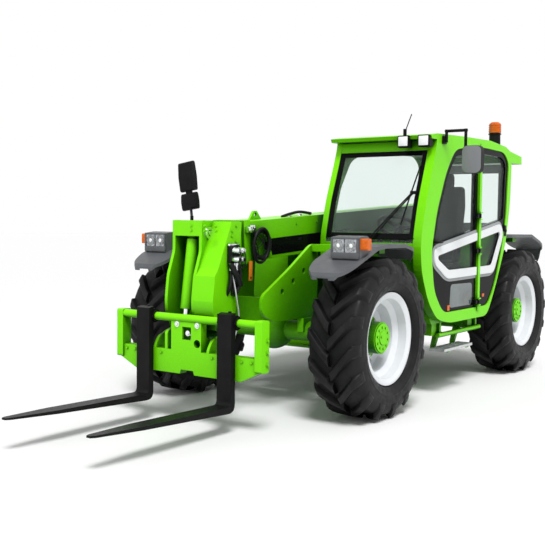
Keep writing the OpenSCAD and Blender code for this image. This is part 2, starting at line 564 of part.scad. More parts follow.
module fittings() machine() color(black) {
    // door side mirror on its tube
    span([400, 460], [cab_left, cab_left + 14], [2040, 2100]);
    translate([430, cab_left + 24, 2050]) cylinder(r = 12, h = 102, $fn = 32);
    span([418, 442], [cab_left, cab_left + 30], [2060, 2080]);
    ycyl(430, 2140, 12, cab_left + 12, 1168);
    translate([430, 1156, 2000]) cylinder(r = 12, h = 152, $fn = 32);
    yz(mirror_face, 390, 445);
    // mirror on the far fender
    translate([fa, -850, tyre_d + 88]) cylinder(r = 14, h = 194, $fn = 32);
    translate([fa, -850, tyre_d + 88]) rotate([0, 0, 20]) translate([-45, -50, 0]) cube([90, 100, 60]);
    translate(far_foot) rotate([0, acos(far_arm[2] / norm(far_arm)), atan2(far_arm[1], far_arm[0])])
        cylinder(r = 12, h = norm(far_arm), $fn = 32);
    translate([fa - 340, -1152, tyre_d + 335]) rotate([8.6, 0, 0]) {
        for (p = far_head) xz(rounded(p, 22), -79, 79);
        span([-14, 10], [-30, 30], [140, 175]);
    }
    // beacon base, aerial and roof lamp housings
    difference() {
        union() {
            translate([-925, 850, 2080]) cylinder(r = 62, h = beacon_z - 2080, $fn = 48);
            translate([600, 715, 2085]) cylinder(r = 14, h = 70, $fn = 32);
            translate([600, 715, 2130]) rotate([-22, 0, 0]) cylinder(r = 4, h = 150, $fn = 24);
        }
        xz(roof, cab_right, cab_left);
    }
    for (y = [690, 866]) span([600, 650], [y, y + 92], [2004, 2068]);
}
module side_step() machine() color("silver") difference() {
    span([-220, 340], [838, 975], [step_z + 14, step_z + 36]);
    for (x = [-190:60:300], y = [856, 914]) span([x, x + 36], [y, y + 44], [step_z, step_z + 40]);
}
module tow_hitch() machine() color(dark) difference() {
    union() {
        span([rear_x - 20, rear_x], [-110, 110], [560, 720]);
        for (z = [585, 665]) span([hitch_x, rear_x - 19], [-50, 50], [z, z + 30]);
    }
    translate([hitch_x + 45, 0, 500]) cylinder(r = hitch_r, h = 300, $fn = 48);
}

// Door
door_line = [[-130, 2049], [194, 2009], [359, 1818], [517, 1500], [600, 1190], [538, 876], [370, 698]];
door_edge = rounded(concat([[bar_front + door_gap, 2050]], door_line, [[bar_front + door_gap, 698]]), 90);
module door_leaf() machine() color(black) {
    door_panel();
    for (z = hinge_z) translate([swing_x, swing_y, z]) difference() {
        union() {
            translate([0, 0, -18]) cylinder(r = 13, h = 36, $fn = 48);
            span([0, 55], [door_out - swing_y - 4, 4], [-18, 18]);
        }
        translate([0, 0, -19]) cylinder(r = 7 + pin_gap, h = 38, $fn = 32);
    }
}
module door_panel() difference() {
    xz(door_edge, door_in, door_out);
    half(bar_front + 46, 2000) xz(upper_pane, door_in - 1, door_out + 1);
    half(bar_front + 46, 2000) xz(trim_inner, door_in - 1, door_out + 1);
}
module door_glass() machine() color("lightblue", 0.4) {
    half(bar_front + 46, 2000) xz(upper_pane, door_in + 16, door_in + 16 + glass_t);
    half(bar_front + 46, 2000) xz(trim_inner, door_in + 16, door_in + 16 + glass_t);
}
module door_trim() machine() color("white") trim_ring(bar_front + 14, 2000);

// Engine
module engine_block() machine() color("gray") span([-430, 430], [-900, -460], [pod_z + pod_wall, 1080]);
module engine_pod() machine() color(lime) { pod_hinges(); pod_shell(); }
module pod_shell() difference() {
    span([-pod_half, pod_half], [pod_out, pod_in], [pod_z, pod_top]);
    span([-pod_half + pod_wall, pod_half - pod_wall], [pod_out + pod_wall, pod_in - pod_wall],
        [pod_z + pod_wall, pod_top + 1]);
    for (z = [700:60:1040]) span([-350, 350], [pod_out - 1, pod_out + pod_wall + 1], [z, z + 30]);
}
module pod_hinges() for (x = [-400, 400]) translate([x, lid_y, pod_top]) {
    xcyl(7, -60, 60);
    for (u = [-60, 46]) {
        span([u, u + 14], [pod_in - lid_y - 1, 10], [-40, -1]);
        span([u, u + 14], [-10, 10], [-2, 9]);
    }
}
module engine_bonnet() machine() color(lime) {
    bonnet_shell();
    for (x = [-400, 400]) translate([x, lid_y, pod_top]) difference() {
        union() {
            xcyl(13, -40, 40);
            span([-40, 40], [pod_in - lid_y - 4, 4], [5, 30]);
        }
        xcyl(7 + pin_gap, -41, 41);
    }
}
module bonnet_shell() difference() {
    yz([[pod_out, pod_top + 5], [pod_out, pod_top + bonnet_h * 0.5], [pod_out + 70, pod_top + bonnet_h],
        [pod_in, pod_top + bonnet_h], [pod_in, pod_top + 5]], -pod_half, pod_half);
    yz([[pod_out + pod_wall, pod_top], [pod_out + pod_wall, pod_top + bonnet_h * 0.5 - 6],
        [pod_out + 76, pod_top + bonnet_h - pod_wall], [pod_in - pod_wall, pod_top + bonnet_h - pod_wall],
        [pod_in - pod_wall, pod_top]], -pod_half + pod_wall, pod_half - pod_wall);
}

// Boom
module tube(x, w, up, down, t) difference() {
    span(x, [-w / 2, w / 2], [-down, up]);
    span([x[0] - 1, x[1] + 1], [-w / 2 + t, w / 2 - t], [-down + t, up - t]);
}
eye_u = cos(boom_slope) * (lift_eye_x - pivot_x) - sin(boom_slope) * (lift_eye_z - pivot_z);
eye_w = sin(boom_slope) * (lift_eye_x - pivot_x) + cos(boom_slope) * (lift_eye_z - pivot_z);
module boom_outer() machine() color(lime) boom_frame() difference() {
    union() {
        tube([-130, boom_len], boom_w, boom_up, boom_down, boom_wall);
        span([-142, -130], [-boom_w / 2, boom_w / 2], [-boom_down, boom_up]);
        tube([boom_len - 80, boom_len], boom_w + 24, boom_up + 12, boom_down + 12, boom_wall + 12);
        ycyl(0, 0, 75, -boom_w / 2, boom_w / 2);
        // wear pads
        for (s = [-1, 1]) {
            span([boom_len - 60, boom_len], [s > 0 ? in_w / 2 + pad_gap : -boom_w / 2 + 1,
                s > 0 ? boom_w / 2 - 1 : -in_w / 2 - pad_gap], [-60, 110]);
            span([boom_len - 60, boom_len], [-80, 80], [s > 0 ? in_up + pad_gap : -boom_down + 1,
                s > 0 ? boom_up - 1 : -in_down - pad_gap]);
        }
        // lift cylinder ears and their pin heads
        for (s = [0, 1]) mirror([0, s, 0]) {
            xz([[eye_u - 130, -boom_down], [eye_u - 45, eye_w - 20], [eye_u - 25, eye_w - 45], [eye_u + 25, eye_w - 45],
                [eye_u + 45, eye_w - 20], [eye_u + 130, -boom_down]], 40, 66);
            ycyl(eye_u, eye_w, 34, 60, 76);
        }
        // lifting lug
        xz([[2905, boom_up - 1], [2960, boom_up + 66], [3000, boom_up + 66], [3055, boom_up - 1]], -10, 10);
    }
    ycyl(0, 0, 40 + pin_gap, -boom_w, boom_w);
    ycyl(2980, boom_up + 36, 17, -20, 20);
}
module boom_inner() machine() color(lime) boom_frame()
    tube([inner_start, boom_len + 20], in_w, in_up, in_down, inner_wall);
head_front = [[2291, 1033], [2312, 860], [2306, 765]];
head_foot = [[2212, 590], [tilt_x, tilt_z - 64], [2095, 585]];
head_side = rounded(concat([[1775, 1140], [1775, 1405], [head_x, 1418], [head_x, 1200]], head_front, head_foot,
    [[1960, 1000], [1905, 1125]]), 30);
box_front = concat([[2110, 1410], [2255, 1085]], head_front);
box_side = rounded(concat([[1995, 1410]], box_front, head_foot, [[2040, 900]]), 24);
head_plate = 25;
module boom_head() machine() color(lime) difference() {
    union() {
        for (y = [boom_r, boom_l - head_plate]) xz(head_side, y, y + head_plate);
        xz(box_side, box_y - 18, box_y);
        xz(concat(box_front, [for (i = [len(box_front) - 1:-1:0]) box_front[i] - [14, 0]]), boom_l - 1, box_y - 1);
        span([1998, 2104], [boom_l - 1, box_y - 1], [1394, 1409]);
        span([1800, head_x], [boom_r, boom_l], [1398, 1416]);
        span([head_x - 16, head_x], [boom_r, boom_l], [1306, 1416]);
        boom_frame() span([boom_len + 20, boom_len + 36], [-boom_w / 2 + 2, boom_w / 2 - 2], [-in_down, in_up]);
        xz([[1990, 1230], [2006, 1230], [2070, 760], [2054, 760]], boom_r + 2, box_y - 2);
        ycyl(tilt_top_x, tilt_top_z, 25, boom_r - 12, boom_l + 12);
        ycyl(tilt_x, tilt_z, tilt_pin_r, lug_right - 5, lug_left + 5);
        for (y = [boom_r, boom_l - head_plate, box_y - 24]) ycyl(tilt_x, tilt_z, 54, y - 2, y + head_plate + 2);
    }
    boom_cut();
}
module boom_cut() boom_frame() span([0, boom_len + 20], [-boom_w, boom_w + 200], [-400, 400]);
module head_couplers() machine() color(black) {
    span([2050, 2160], [box_y, box_y + 30], [1120, 1240]);
    for (x = [2078, 2130], z = [1148, 1210]) ycyl(x, z, 18, box_y + 29, box_y + 78);
    for (x = [2072, 2104, 2136]) translate([x, box_y + 15, 1040]) cylinder(r = 12, h = 81, $fn = 32);
}
module boom_hoses() machine() color(black) {
    span([1440, 1480], [boom_l, boom_l + 30], [1200, 1260]);
    translate([1560, boom_l + 30, 1240]) rotate([90, 0, 0]) rotate_extrude($fn = 64) translate([100, 0]) circle(r = 15, $fn = 32);
}

// Cylinders
module lift_barrel() machine() color(lime) lift_frame() difference() {
    union() {
        ycyl(0, 0, 52, -30, 30);
        xcyl(30, 20, 82);
        xcyl(lift_r, 80, lift_len - 110);
    }
    ycyl(0, 0, 27 + pin_gap, -31, 31);
    xcyl(lift_rod_r + pin_gap, 110, lift_len - 109);
}
module lift_rod() machine() color("silver") lift_frame() {
    xcyl(lift_rod_r, 140, lift_len - 30);
    ycyl(lift_len, 0, 48, -30, 30);
}
tilt_barrel_l = 545;
module tilt_barrel() machine() color(lime) tilt_frame() difference() {
    union() {
        ycyl(0, 0, 46, -30, 30);
        xcyl(30, 20, 50);
        xcyl(tilt_r, 48, tilt_barrel_l);
    }
    ycyl(0, 0, 25 + pin_gap, -31, 31);
    xcyl(tilt_rod_r + pin_gap, 70, tilt_barrel_l + 1);
}
module tilt_rod() machine() color("silver") tilt_frame() {
    xcyl(tilt_rod_r, 120, tilt_len - 20);
    ycyl(tilt_len, 0, 36, -26, 26);
}

// Fork carriage
lug_right = boom_r - 27;
lug_left = box_y + 35;
lug_t = 22;
lug = rounded([[tilt_x - 50, tilt_z - 34], [tilt_x - 50, tilt_z + 34], [tilt_x, tilt_z + 54], [2240, 640],
    [beam_x + 30, 600], [fork_back, 540], [fork_back, 400], [beam_x, 400], [tilt_x, tilt_z - 54]], 26);
beam = [[carriage_half, 442], [470, 357], [70, 357], [60, 386], [-50, 386], [-60, 357], [-470, 357],
    [-carriage_half, 442], [-carriage_half, 520], [carriage_half, 520]];
ear = rounded([[fork_back, 430], [fork_back, 640], [2290, 690], [tilt_eye_x + 2, 702], [2208, 684], [2200, 640],
    [2232, 612], [beam_x + 7, 480]], 18);
ear_in = 34;
ear_t = 24;
centre = [[-140, 510], [-140, shaft_z], [130, shaft_z], [130, 510]];
module carriage_frame() machine() color(lime) difference() {
    union() {
        yz(beam, beam_x, fork_back);
        ycyl(shaft_x, shaft_z, shaft_r, -carriage_half + 5, carriage_half - 5);
        both_sides() xz(rounded([[beam_x, 430], [beam_x, 772], [fork_back + 14, 772], [fork_back + 14, 430]], 14),
            carriage_half - 58, carriage_half);
        xz(lug, lug_right, lug_right + lug_t);
        xz(lug, lug_left - lug_t, lug_left);
        for (s = [-1, 1]) translate([0, boom_y, 0]) mirror([0, s > 0 ? 0 : 1, 0]) {
            xz(ear, ear_in, ear_in + ear_t);
            ycyl(tilt_eye_x, tilt_eye_z, 28, ear_in + ear_t - 1, ear_in + ear_t + 12);
        }
        yz(centre, fork_back - 18, fork_back);
        for (y = [-140, 112]) span([beam_x + 12, fork_back - 17], [y, y + 18], [510, 716]);
        ycyl(beam_x + 16, 575, 44, 60, 128);
    }
    for (y = [lug_right, lug_left - lug_t]) ycyl(tilt_x, tilt_z, tilt_pin_r + pin_gap, y - 1, y + lug_t + 1);
    yz([[-38, 596], [-38, 684], [40, 684], [40, 596]], fork_back - 30, fork_back + 1);
    translate([0, 94, 575]) xcyl(28, beam_x - 60, fork_back + 1);
}
fork_plan = [[fork_back - 60, -fork_w / 2], [fork_tip - 380, -fork_w / 2], [fork_tip - 30, -fork_w / 4],
    [fork_tip, -fork_w / 8], [fork_tip, fork_w / 8], [fork_tip - 30, fork_w / 4], [fork_tip - 380, fork_w / 2],
    [fork_back - 60, fork_w / 2]];
blade_rise = 25;
fork_side = concat([[fork_tip, blade_z + blade_rise], [fork_tip, blade_z + blade_rise - 12],
    [fork_face + 40, blade_z - fork_t]],
    corner([fork_tip, blade_z - fork_t], [fork_back, blade_z - fork_t], [fork_back, shank_top], 58, 6),
    [[fork_back, shank_top], [fork_face, shank_top - 10]],
    corner([fork_face, shank_top], [fork_face, blade_z], [fork_tip, blade_z], 34, 6));
module forks() machine() color(black) for (s = [-1, 1]) translate([0, s * fork_pitch / 2, 0]) difference() {
    union() {
        intersection() {
            xz(fork_side, -fork_w / 2, fork_w / 2);
            linear_extrude(1000) polygon(fork_plan);
        }
        ycyl(shaft_x, shaft_z, 50, -fork_w / 2, fork_w / 2);
    }
    ycyl(shaft_x, shaft_z, shaft_r + pin_gap, -fork_w, fork_w);
}

chassis_sides();
chassis_members();
front_axle();
rear_axle();
steer_rod_front();
steer_rod_rear();
knuckle_front_left();
knuckle_front_right();
knuckle_rear_left();
knuckle_rear_right();
tyre_front_left();
tyre_front_right();
tyre_rear_left();
tyre_rear_right();
rim_front_left();
rim_front_right();
rim_rear_left();
rim_rear_right();
hub_front_left();
hub_front_right();
hub_rear_left();
hub_rear_right();
cab_frame();
cab_tub();
windscreen();
cab_glass();
quarter_panel();
quarter_trim();
cab_interior();
steering_wheel();
seat_cushion();
seat_back();
wiper();
front_fenders();
rear_fenders();
headlamps();
signal_lamps();
tail_lamps();
fittings();
side_step();
tow_hitch();
door_leaf();
door_glass();
door_trim();
engine_block();
engine_pod();
engine_bonnet();
boom_outer();
boom_inner();
boom_head();
head_couplers();
boom_hoses();
lift_barrel();
lift_rod();
tilt_barrel();
tilt_rod();
carriage_frame();
forks();
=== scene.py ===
import bpy
import bmesh
import json
import math
from mathutils import Matrix, Vector


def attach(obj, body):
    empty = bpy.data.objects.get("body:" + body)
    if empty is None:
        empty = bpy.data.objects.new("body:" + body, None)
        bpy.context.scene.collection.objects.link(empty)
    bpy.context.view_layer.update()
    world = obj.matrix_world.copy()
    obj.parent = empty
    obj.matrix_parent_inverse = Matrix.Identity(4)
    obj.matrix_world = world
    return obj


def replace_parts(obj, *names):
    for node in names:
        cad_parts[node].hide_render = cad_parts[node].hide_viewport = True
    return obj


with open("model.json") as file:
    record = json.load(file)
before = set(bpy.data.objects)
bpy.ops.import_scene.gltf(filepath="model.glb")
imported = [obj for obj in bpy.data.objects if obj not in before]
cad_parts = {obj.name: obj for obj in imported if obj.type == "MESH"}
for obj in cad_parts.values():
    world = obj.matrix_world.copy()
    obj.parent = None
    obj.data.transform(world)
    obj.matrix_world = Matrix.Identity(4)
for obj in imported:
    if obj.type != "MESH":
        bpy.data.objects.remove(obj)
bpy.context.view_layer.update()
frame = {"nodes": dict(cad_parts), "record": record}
nodes = frame["nodes"]
midX = 0.789  # the machine's own origin to the middle of the overall box
machine = dict(axle=1.35, hubZ=0.585, tyreY=0.8475)


def at(x, y, z):  # millimetres on the machine to metres in the frame
    return Vector((x / 1000 - midX, y / 1000, z / 1000))


# shader maths
class Sock:
    def __init__(self, tree, out=None):
        self.tree, self.out = tree, out

    def make(self, kind, values, output=0, **settings):
        node = self.tree.nodes.new(kind)
        for key, value in settings.items():
            setattr(node, key, value)
        for key, value in values.items():
            if isinstance(value, Sock):
                self.tree.links.new(value.out, node.inputs[key])
            else:
                node.inputs[key].default_value = value
        return Sock(self.tree, node.outputs[output])

    def feed(self, node, socket):
        self.tree.links.new(self.out, node.inputs[socket])

    def op(self, name, a, b):
        return self.make("ShaderNodeMath", {0: a, 1: b}, operation=name)

    def __add__(self, b):
        return self.op("ADD", self, b)

    def __radd__(self, b):
        return self.op("ADD", b, self)

    def __mul__(self, b):
        return self.op("MULTIPLY", self, b)

    def __rmul__(self, b):
        return self.op("MULTIPLY", b, self)

    def __gt__(self, b):
        return self.op("GREATER_THAN", self, b)


def start(name, color, rough, metal=0.0, coat=0.0, shine=0.5):
    material = bpy.data.materials.new(name)
    material.use_nodes = True
    tree = material.node_tree
    shader = tree.nodes["Principled BSDF"]
    values = {"Base Color": (*color, 1), "Roughness": rough, "Metallic": metal, "Coat Weight": coat,
              "Specular IOR Level": shine}
    for socket, value in values.items():
        shader.inputs[socket].default_value = value
    return material, shader, Sock(tree).make("ShaderNodeTexCoord", {}, "Object")


def mixColor(factor, a, b):
    a, b = [c if isinstance(c, Sock) else (*c, 1) for c in (a, b)]
    return factor.make("ShaderNodeMix", {0: factor, 6: a, 7: b}, 2, data_type="RGBA")


def noise(co, scale, detail=4, rough=0.55):
    values = {"Vector": co, "Scale": scale, "Detail": detail, "Roughness": rough}
    return co.make("ShaderNodeTexNoise", values)


def ramp(s, lo, hi, a=0.0, b=1.0):
    values = {"Value": s, "From Min": lo, "From Max": hi, "To Min": a, "To Max": b}
    return s.make("ShaderNodeMapRange", values)


wear = dict(low=0.3, high=0.7, lift=0.5, finer=3, dullAt=0.75, smooth=0.85, dull=1.2, depth=0.002)


def surface(name, color, rough, metal=0.0, coat=0.0, vary=0.12, scale=6.0, edge=0.0, grain=0.0,
            grainScale=90.0, shine=0.5, tone=None, gloss=None):
    material, shader, co = start(name, color, rough, metal, coat, shine)
    if tone:
        base = tone(co)
    else:
        dark = tuple(c * (1 - vary) for c in color)
        light = tuple(min(1, c * (1 + vary * wear["lift"])) for c in color)
        base = mixColor(ramp(noise(co, scale), wear["low"], wear["high"]), dark, light)
    base.feed(shader, "Base Color")
    if gloss:
        dullness = gloss(co)
    else:
        dullness = ramp(noise(co, scale * wear["finer"]), wear["low"], wear["dullAt"],
                        rough * wear["smooth"], min(1, rough * wear["dull"]))
    dullness.feed(shader, "Roughness")
    normal = None
    if edge:
        normal = co.make("ShaderNodeBevel", {"Radius": edge}, samples=4)
    if grain:
        values = {"Height": noise(co, grainScale, 3), "Strength": grain, "Distance": wear["depth"]}
        if normal:
            values["Normal"] = normal
        normal = co.make("ShaderNodeBump", values)
    if normal:
        normal.feed(shader, "Normal")
    return material


# lime paint colour, with a yellower painted highlight (top) for faces turned up and a dark green painted shade
# for hollows and undersides
paint = dict(lime=(0.19, 0.78, 0.002), top=(0.28, 0.88, 0.004), paintedShade=(0.003, 0.075, 0.0003), reach=0.85,
             cloud=6.0, cloudShare=0.2, shadeOcclusion=(0.2, 0.82), under=0.45, highlightFrom=0.2)
# tyre rubber: a black painted shade for the tread valleys (also the nominal rubber colour) and a grey that is
# partly wear, partly painted highlight, for the lug edges
rubber = dict(paintedShade=(0.0022, 0.0022, 0.0024), wearAndHighlight=(0.017, 0.017, 0.0175), reach=0.12, patch=9.0, film=24.0,
              open=(0.45, 1.0), patchRange=(0.25, 0.7, 0.45, 1.0), glossRange=(0.3, 0.7, 0.34, 0.58))


def limeShadeAndHighlight(co):  # painted shade: deeper green in hollows found by ambient occlusion and on faces turned down; painted highlight: yellower on faces turned up, mixed with a random cloud tone
    shadeOcclusion = co.make("ShaderNodeAmbientOcclusion", {"Distance": paint["reach"]}, 1, samples=6)
    normal = co.make("ShaderNodeTexCoord", {}, "Normal")
    upward = co.make("ShaderNodeSeparateXYZ", {0: normal}, 2)
    cloud = noise(co, paint["cloud"])
    share = paint["cloudShare"]
    # painted highlight mask: rises on faces turned up, with a share of random cloud tone
    highlightAndCloud = ramp(upward, paint["highlightFrom"], 1.0) * (1 - share) + share * cloud
    top = mixColor(highlightAndCloud, paint["lime"], paint["top"])
    # painted shade mask: falls in hollows that the occlusion finds and on faces turned down
    lit = ramp(shadeOcclusion, *paint["shadeOcclusion"]) * ramp(upward, -1.0, 0.0, paint["under"], 1.0)
    return mixColor(lit, paint["paintedShade"], top)


def tyreShadeAndWear(co):  # painted shade: black in the valleys that the occlusion finds; the open lug edges get a grey that is partly wear patches, partly painted highlight
    shadeOcclusion = co.make("ShaderNodeAmbientOcclusion", {"Distance": rubber["reach"]}, 1, samples=6)
    wearAndHighlight = ramp(shadeOcclusion, *rubber["open"]) * ramp(noise(co, rubber["patch"]), *rubber["patchRange"])
    return mixColor(wearAndHighlight, rubber["paintedShade"], rubber["wearAndHighlight"])


def tyreGloss(co):
    return ramp(noise(co, rubber["film"]), *rubber["glossRange"])


def glass(name, tint, cover, clearest=0.72):
    material, shader, co = start(name, tint, 0.03, shine=0.6)
    clear = co.make("ShaderNodeBsdfTransparent",
                    {"Color": (*[clearest + (1 - clearest) * c for c in tint], 1)})
    pane = co.make("ShaderNodeMixShader", {0: cover, 1: clear, 2: Sock(co.tree, shader.outputs[0])})
    pane.feed(co.tree.nodes["Material Output"], "Surface")
    return material


mats = {
    "lime": surface("limePaintShaded", paint["lime"], 0.34, coat=0.05, edge=0.005, shine=0.13, tone=limeShadeAndHighlight),
    "tyre": surface("tyreRubber", rubber["paintedShade"], 0.46, grain=0.25, grainScale=150, edge=0.006, shine=0.12,
                    tone=tyreShadeAndWear, gloss=tyreGloss),
    "glass": glass("cabGlass", (0.86, 0.95, 0.92), 0.04),
    "rim": surface("whiteRim", (0.78, 0.80, 0.83), 0.32, coat=0.2, vary=0.05, edge=0.003),
    "chrome": surface("chromeRod", (0.82, 0.83, 0.85), 0.12, metal=1.0, vary=0.04),
    "grey": surface("greyPlastic", (0.105, 0.11, 0.118), 0.42, vary=0.15, grain=0.12, grainScale=240,
                    edge=0.004, shine=0.3),
    "trim": surface("cabTrim", (0.022, 0.025, 0.024), 0.6, vary=0.15, grain=0.12, grainScale=260,
                    edge=0.004, shine=0.15),
    "liner": surface("cabLiner", (0.16, 0.18, 0.17), 0.7, vary=0.1, grain=0.1, grainScale=260),
    "panel": surface("blackPanel", (0.004, 0.004, 0.0045), 0.16, vary=0.1, edge=0.003, shine=0.045),
    "white": surface("whiteTrim", (0.82, 0.84, 0.85), 0.34, vary=0.02, shine=0.2),
    "border": surface("greyBorder", (0.30, 0.32, 0.33), 0.4, vary=0.05),
    "cloth": surface("seatCloth", (0.018, 0.018, 0.02), 0.85, vary=0.3, scale=40, grain=0.5, grainScale=420,
                     shine=0.1),
    "steel": surface("blackSteel", (0.008, 0.008, 0.008), 0.4, vary=0.3, scale=14, grain=0.12,
                     grainScale=120, edge=0.004, shine=0.09),
    "rubber": surface("hoseRubber", (0.009, 0.009, 0.01), 0.45, vary=0.2, scale=30, shine=0.18),
    "alu": surface("stepMetal", (0.62, 0.63, 0.64), 0.38, metal=0.9, vary=0.12, scale=20, edge=0.002),
    "iron": surface("engineIron", (0.14, 0.14, 0.145), 0.6, metal=0.4, vary=0.25, grain=0.3),
    "bolt": surface("boltZinc", (0.55, 0.55, 0.53), 0.35, metal=0.9, vary=0.15, scale=60),
    "amber": surface("amberLens", (0.72, 0.135, 0.002), 0.18, vary=0.2, scale=50, shine=0.25),
    "red": surface("redLens", (0.45, 0.008, 0.005), 0.18, vary=0.15, scale=50, shine=0.25),
    "lens": surface("lampLens", (0.42, 0.44, 0.46), 0.1, metal=0.7, coat=0.5, vary=0.6, scale=38),
    "bowl": surface("lampBowl", (0.30, 0.31, 0.32), 0.16, metal=0.85, vary=0.7, scale=55),
    "mirrorGrey": surface("mirrorGrey", (0.19, 0.195, 0.21), 0.4, vary=0.08),
    "pane": surface("lowerPane", (0.12, 0.155, 0.15), 0.08, coat=0.3, vary=0.6, scale=2.2),
    "lampWhite": surface("lampWhite", (0.92, 0.93, 0.95), 0.12, coat=0.5, vary=0.04, scale=60),
    "orange": surface("orangeStrap", (0.75, 0.21, 0.01), 0.55, vary=0.1),
    "screen": surface("displayScreen", (0.02, 0.03, 0.035), 0.1, coat=0.6, vary=0.1),
}
slotMats = {"lime_paint": "lime", "tyre": "tyre", "white_rim": "rim", "rod_chrome": "chrome",
            "grey_plastic": "grey", "cab_trim": "trim", "black_panel": "panel", "white_trim": "white",
            "seat_cloth": "cloth", "cab_glass": "glass", "lamp_lens": "lens", "amber_lens": "amber",
            "red_lens": "red", "black_steel": "steel", "step_metal": "alu", "hose_rubber": "rubber",
            "engine_iron": "iron"}
for part in frame["record"]["subparts"]:
    mesh = nodes[part["node"]].data
    mesh.materials.clear()
    mesh.materials.append(mats[slotMats[part["material_slot"]]])
nodes["fittings"].data.materials[0] = mats["steel"]
print("stage materials", len(mats))


# mesh helpers
def piece(name, bm, body, finish, angle=35):
    bmesh.ops.recalc_face_normals(bm, faces=bm.faces)
    mesh = bpy.data.meshes.new(name)
    bm.to_mesh(mesh)
    bm.free()
    for face in mesh.polygons:
        face.use_smooth = True
    mesh.set_sharp_from_angle(angle=math.radians(angle))
    o = bpy.data.objects.new(name, mesh)
    bpy.context.scene.collection.objects.link(o)
    for key in finish.split():
        mesh.materials.append(mats[key])
    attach(o, body)
    return o


def roundEdges(bm, edges, width, segments=2):
    bmesh.ops.bevel(bm, geom=list(edges), offset=width, offset_type="OFFSET", segments=segments, profile=0.5,
                    affect="EDGES", material=-1)


def cube(bm, lo, hi, bevel=0.0, mat=0):
    place = Matrix.Translation((lo + hi) / 2) @ Matrix.Diagonal((*(hi - lo), 1))
    made = bmesh.ops.create_cube(bm, size=1.0, matrix=place)["verts"]
    for face in {f for v in made for f in v.link_faces}:
        face.material_index = mat
    if bevel:
        roundEdges(bm, {e for v in made for e in v.link_edges}, bevel)


def rod(bm, a, b, r, seg=20, r2=None, mat=0):
    place = Matrix.Translation((a + b) / 2) @ (b - a).to_track_quat("Z", "Y").to_matrix().to_4x4()
    made = bmesh.ops.create_cone(bm, cap_ends=True, segments=seg, radius1=r, radius2=r if r2 is None else r2,
                                 depth=(b - a).length, matrix=place)["verts"]
    for face in {f for v in made for f in v.link_faces}:
        face.material_index = mat


boltForm = dict(sink=0.001, washerH=0.3, washerR=1.5, tip=0.94)


def hexBolt(bm, p, direction, r, h, washer=True):
    d = Vector(direction)
    if washer:
        rod(bm, p - d * boltForm["sink"], p + d * h * boltForm["washerH"], r * boltForm["washerR"])
    rod(bm, p, p + d * h, r, 6, r * boltForm["tip"])


def drawOut(bm, face):
    made = bmesh.ops.extrude_face_region(bm, geom=[face, *face.edges])["geom"]
    return next(g for g in made if isinstance(g, bmesh.types.BMFace))


def sweep(bm, rows):  # one section, drawn out from row to row
    first = tip = bm.faces.new([bm.verts.new(p) for p in rows[0]])
    for row in rows[1:]:
        tip = drawOut(bm, tip)
        for v, p in zip(tip.verts, row):
            v.co = p
    return first, tip


def slab(bm, outline, axis, a, b, mat=0, bevel=0.0):
    def ring(s):
        return [bm.verts.new((u, s, w) if axis == "y" else (s, u, w)) for u, w in outline]

    low, high, n = ring(a), ring(b), len(outline)
    faces = [bm.faces.new(low), bm.faces.new(high[::-1])]
    faces += [bm.faces.new((low[i], low[(i + 1) % n], high[(i + 1) % n], high[i])) for i in range(n)]
    for face in faces:
        face.material_index = mat
    if bevel:
        roundEdges(bm, [e for face in faces[:2] for e in face.edges], bevel)


def smoothPath(pts, n):
    out = []
    for i in range(len(pts) - 1):
        p0, p1, p2, p3 = pts[max(i - 1, 0)], pts[i], pts[i + 1], pts[min(i + 2, len(pts) - 1)]
        for t in [k / n for k in range(n)]:
            bend = (2 * p0 - 5 * p1 + 4 * p2 - p3) * t * t + (3 * p1 - p0 - 3 * p2 + p3) * t ** 3
            out.append(0.5 * (2 * p1 + (p2 - p0) * t + bend))
    return out + [pts[-1]]


def hose(bm, pts, r, seg=12, n=8):
    path = smoothPath(pts, n)
    places = []
    side = None
    for i, p in enumerate(path):
        d = (path[min(i + 1, len(path) - 1)] - path[max(i - 1, 0)]).normalized()
        side = d.orthogonal().normalized() if side is None else (side - d * side.dot(d)).normalized()
        turn = Matrix((d.cross(side), side, -d)).transposed().to_4x4()
        places.append(Matrix.Translation(p) @ turn)
    made = bmesh.ops.create_circle(bm, cap_ends=True, segments=seg, radius=r, matrix=places[0])["verts"]
    tip = made[0].link_faces[0]
    for a, b in zip(places, places[1:]):
        tip = drawOut(bm, tip)
        bmesh.ops.transform(bm, matrix=b @ a.inverted(), verts=tip.verts)


def roundPoly(corners, r, n=6):
    out = []
    for i, corner in enumerate(corners):
        q, a, b = Vector(corner), Vector(corners[i - 1]), Vector(corners[(i + 1) % len(corners)])
        reach = min(r, 0.45 * (a - q).length, 0.45 * (b - q).length)
        u, w = (a - q).normalized() * reach, (b - q).normalized() * reach
        out += [q + u * (1 - k / n) ** 2 + w * (k / n) ** 2 for k in range(n + 1)]
    return out


def roundRect(u0, u1, w0, w1, r, n=5):
    out = []
    corners = ((u1 - r, w1 - r), (u0 + r, w1 - r), (u0 + r, w0 + r), (u1 - r, w0 + r))
    for i, (u, w) in enumerate(corners):
        turns = [math.radians(90 * (i + k / n)) for k in range(n + 1)]
        out += [(u + r * math.cos(t), w + r * math.sin(t)) for t in turns]
    return out


def hoses(bm, rows, seg=12, n=6):
    for r, pts in rows:
        hose(bm, [at(*p) for p in pts], r, seg, n)


def cubes(bm, rows, mat=0):
    for bevel, lo, hi in rows:
        cube(bm, at(*lo), at(*hi), bevel, mat)


def rods(bm, rows, seg, mat=0):
    for r, a, b in rows:
        rod(bm, at(*a), at(*b), r, seg, mat=mat)


def onRing(centre, radius, turn, y):
    return centre + Vector((radius * math.cos(turn), y, radius * math.sin(turn)))


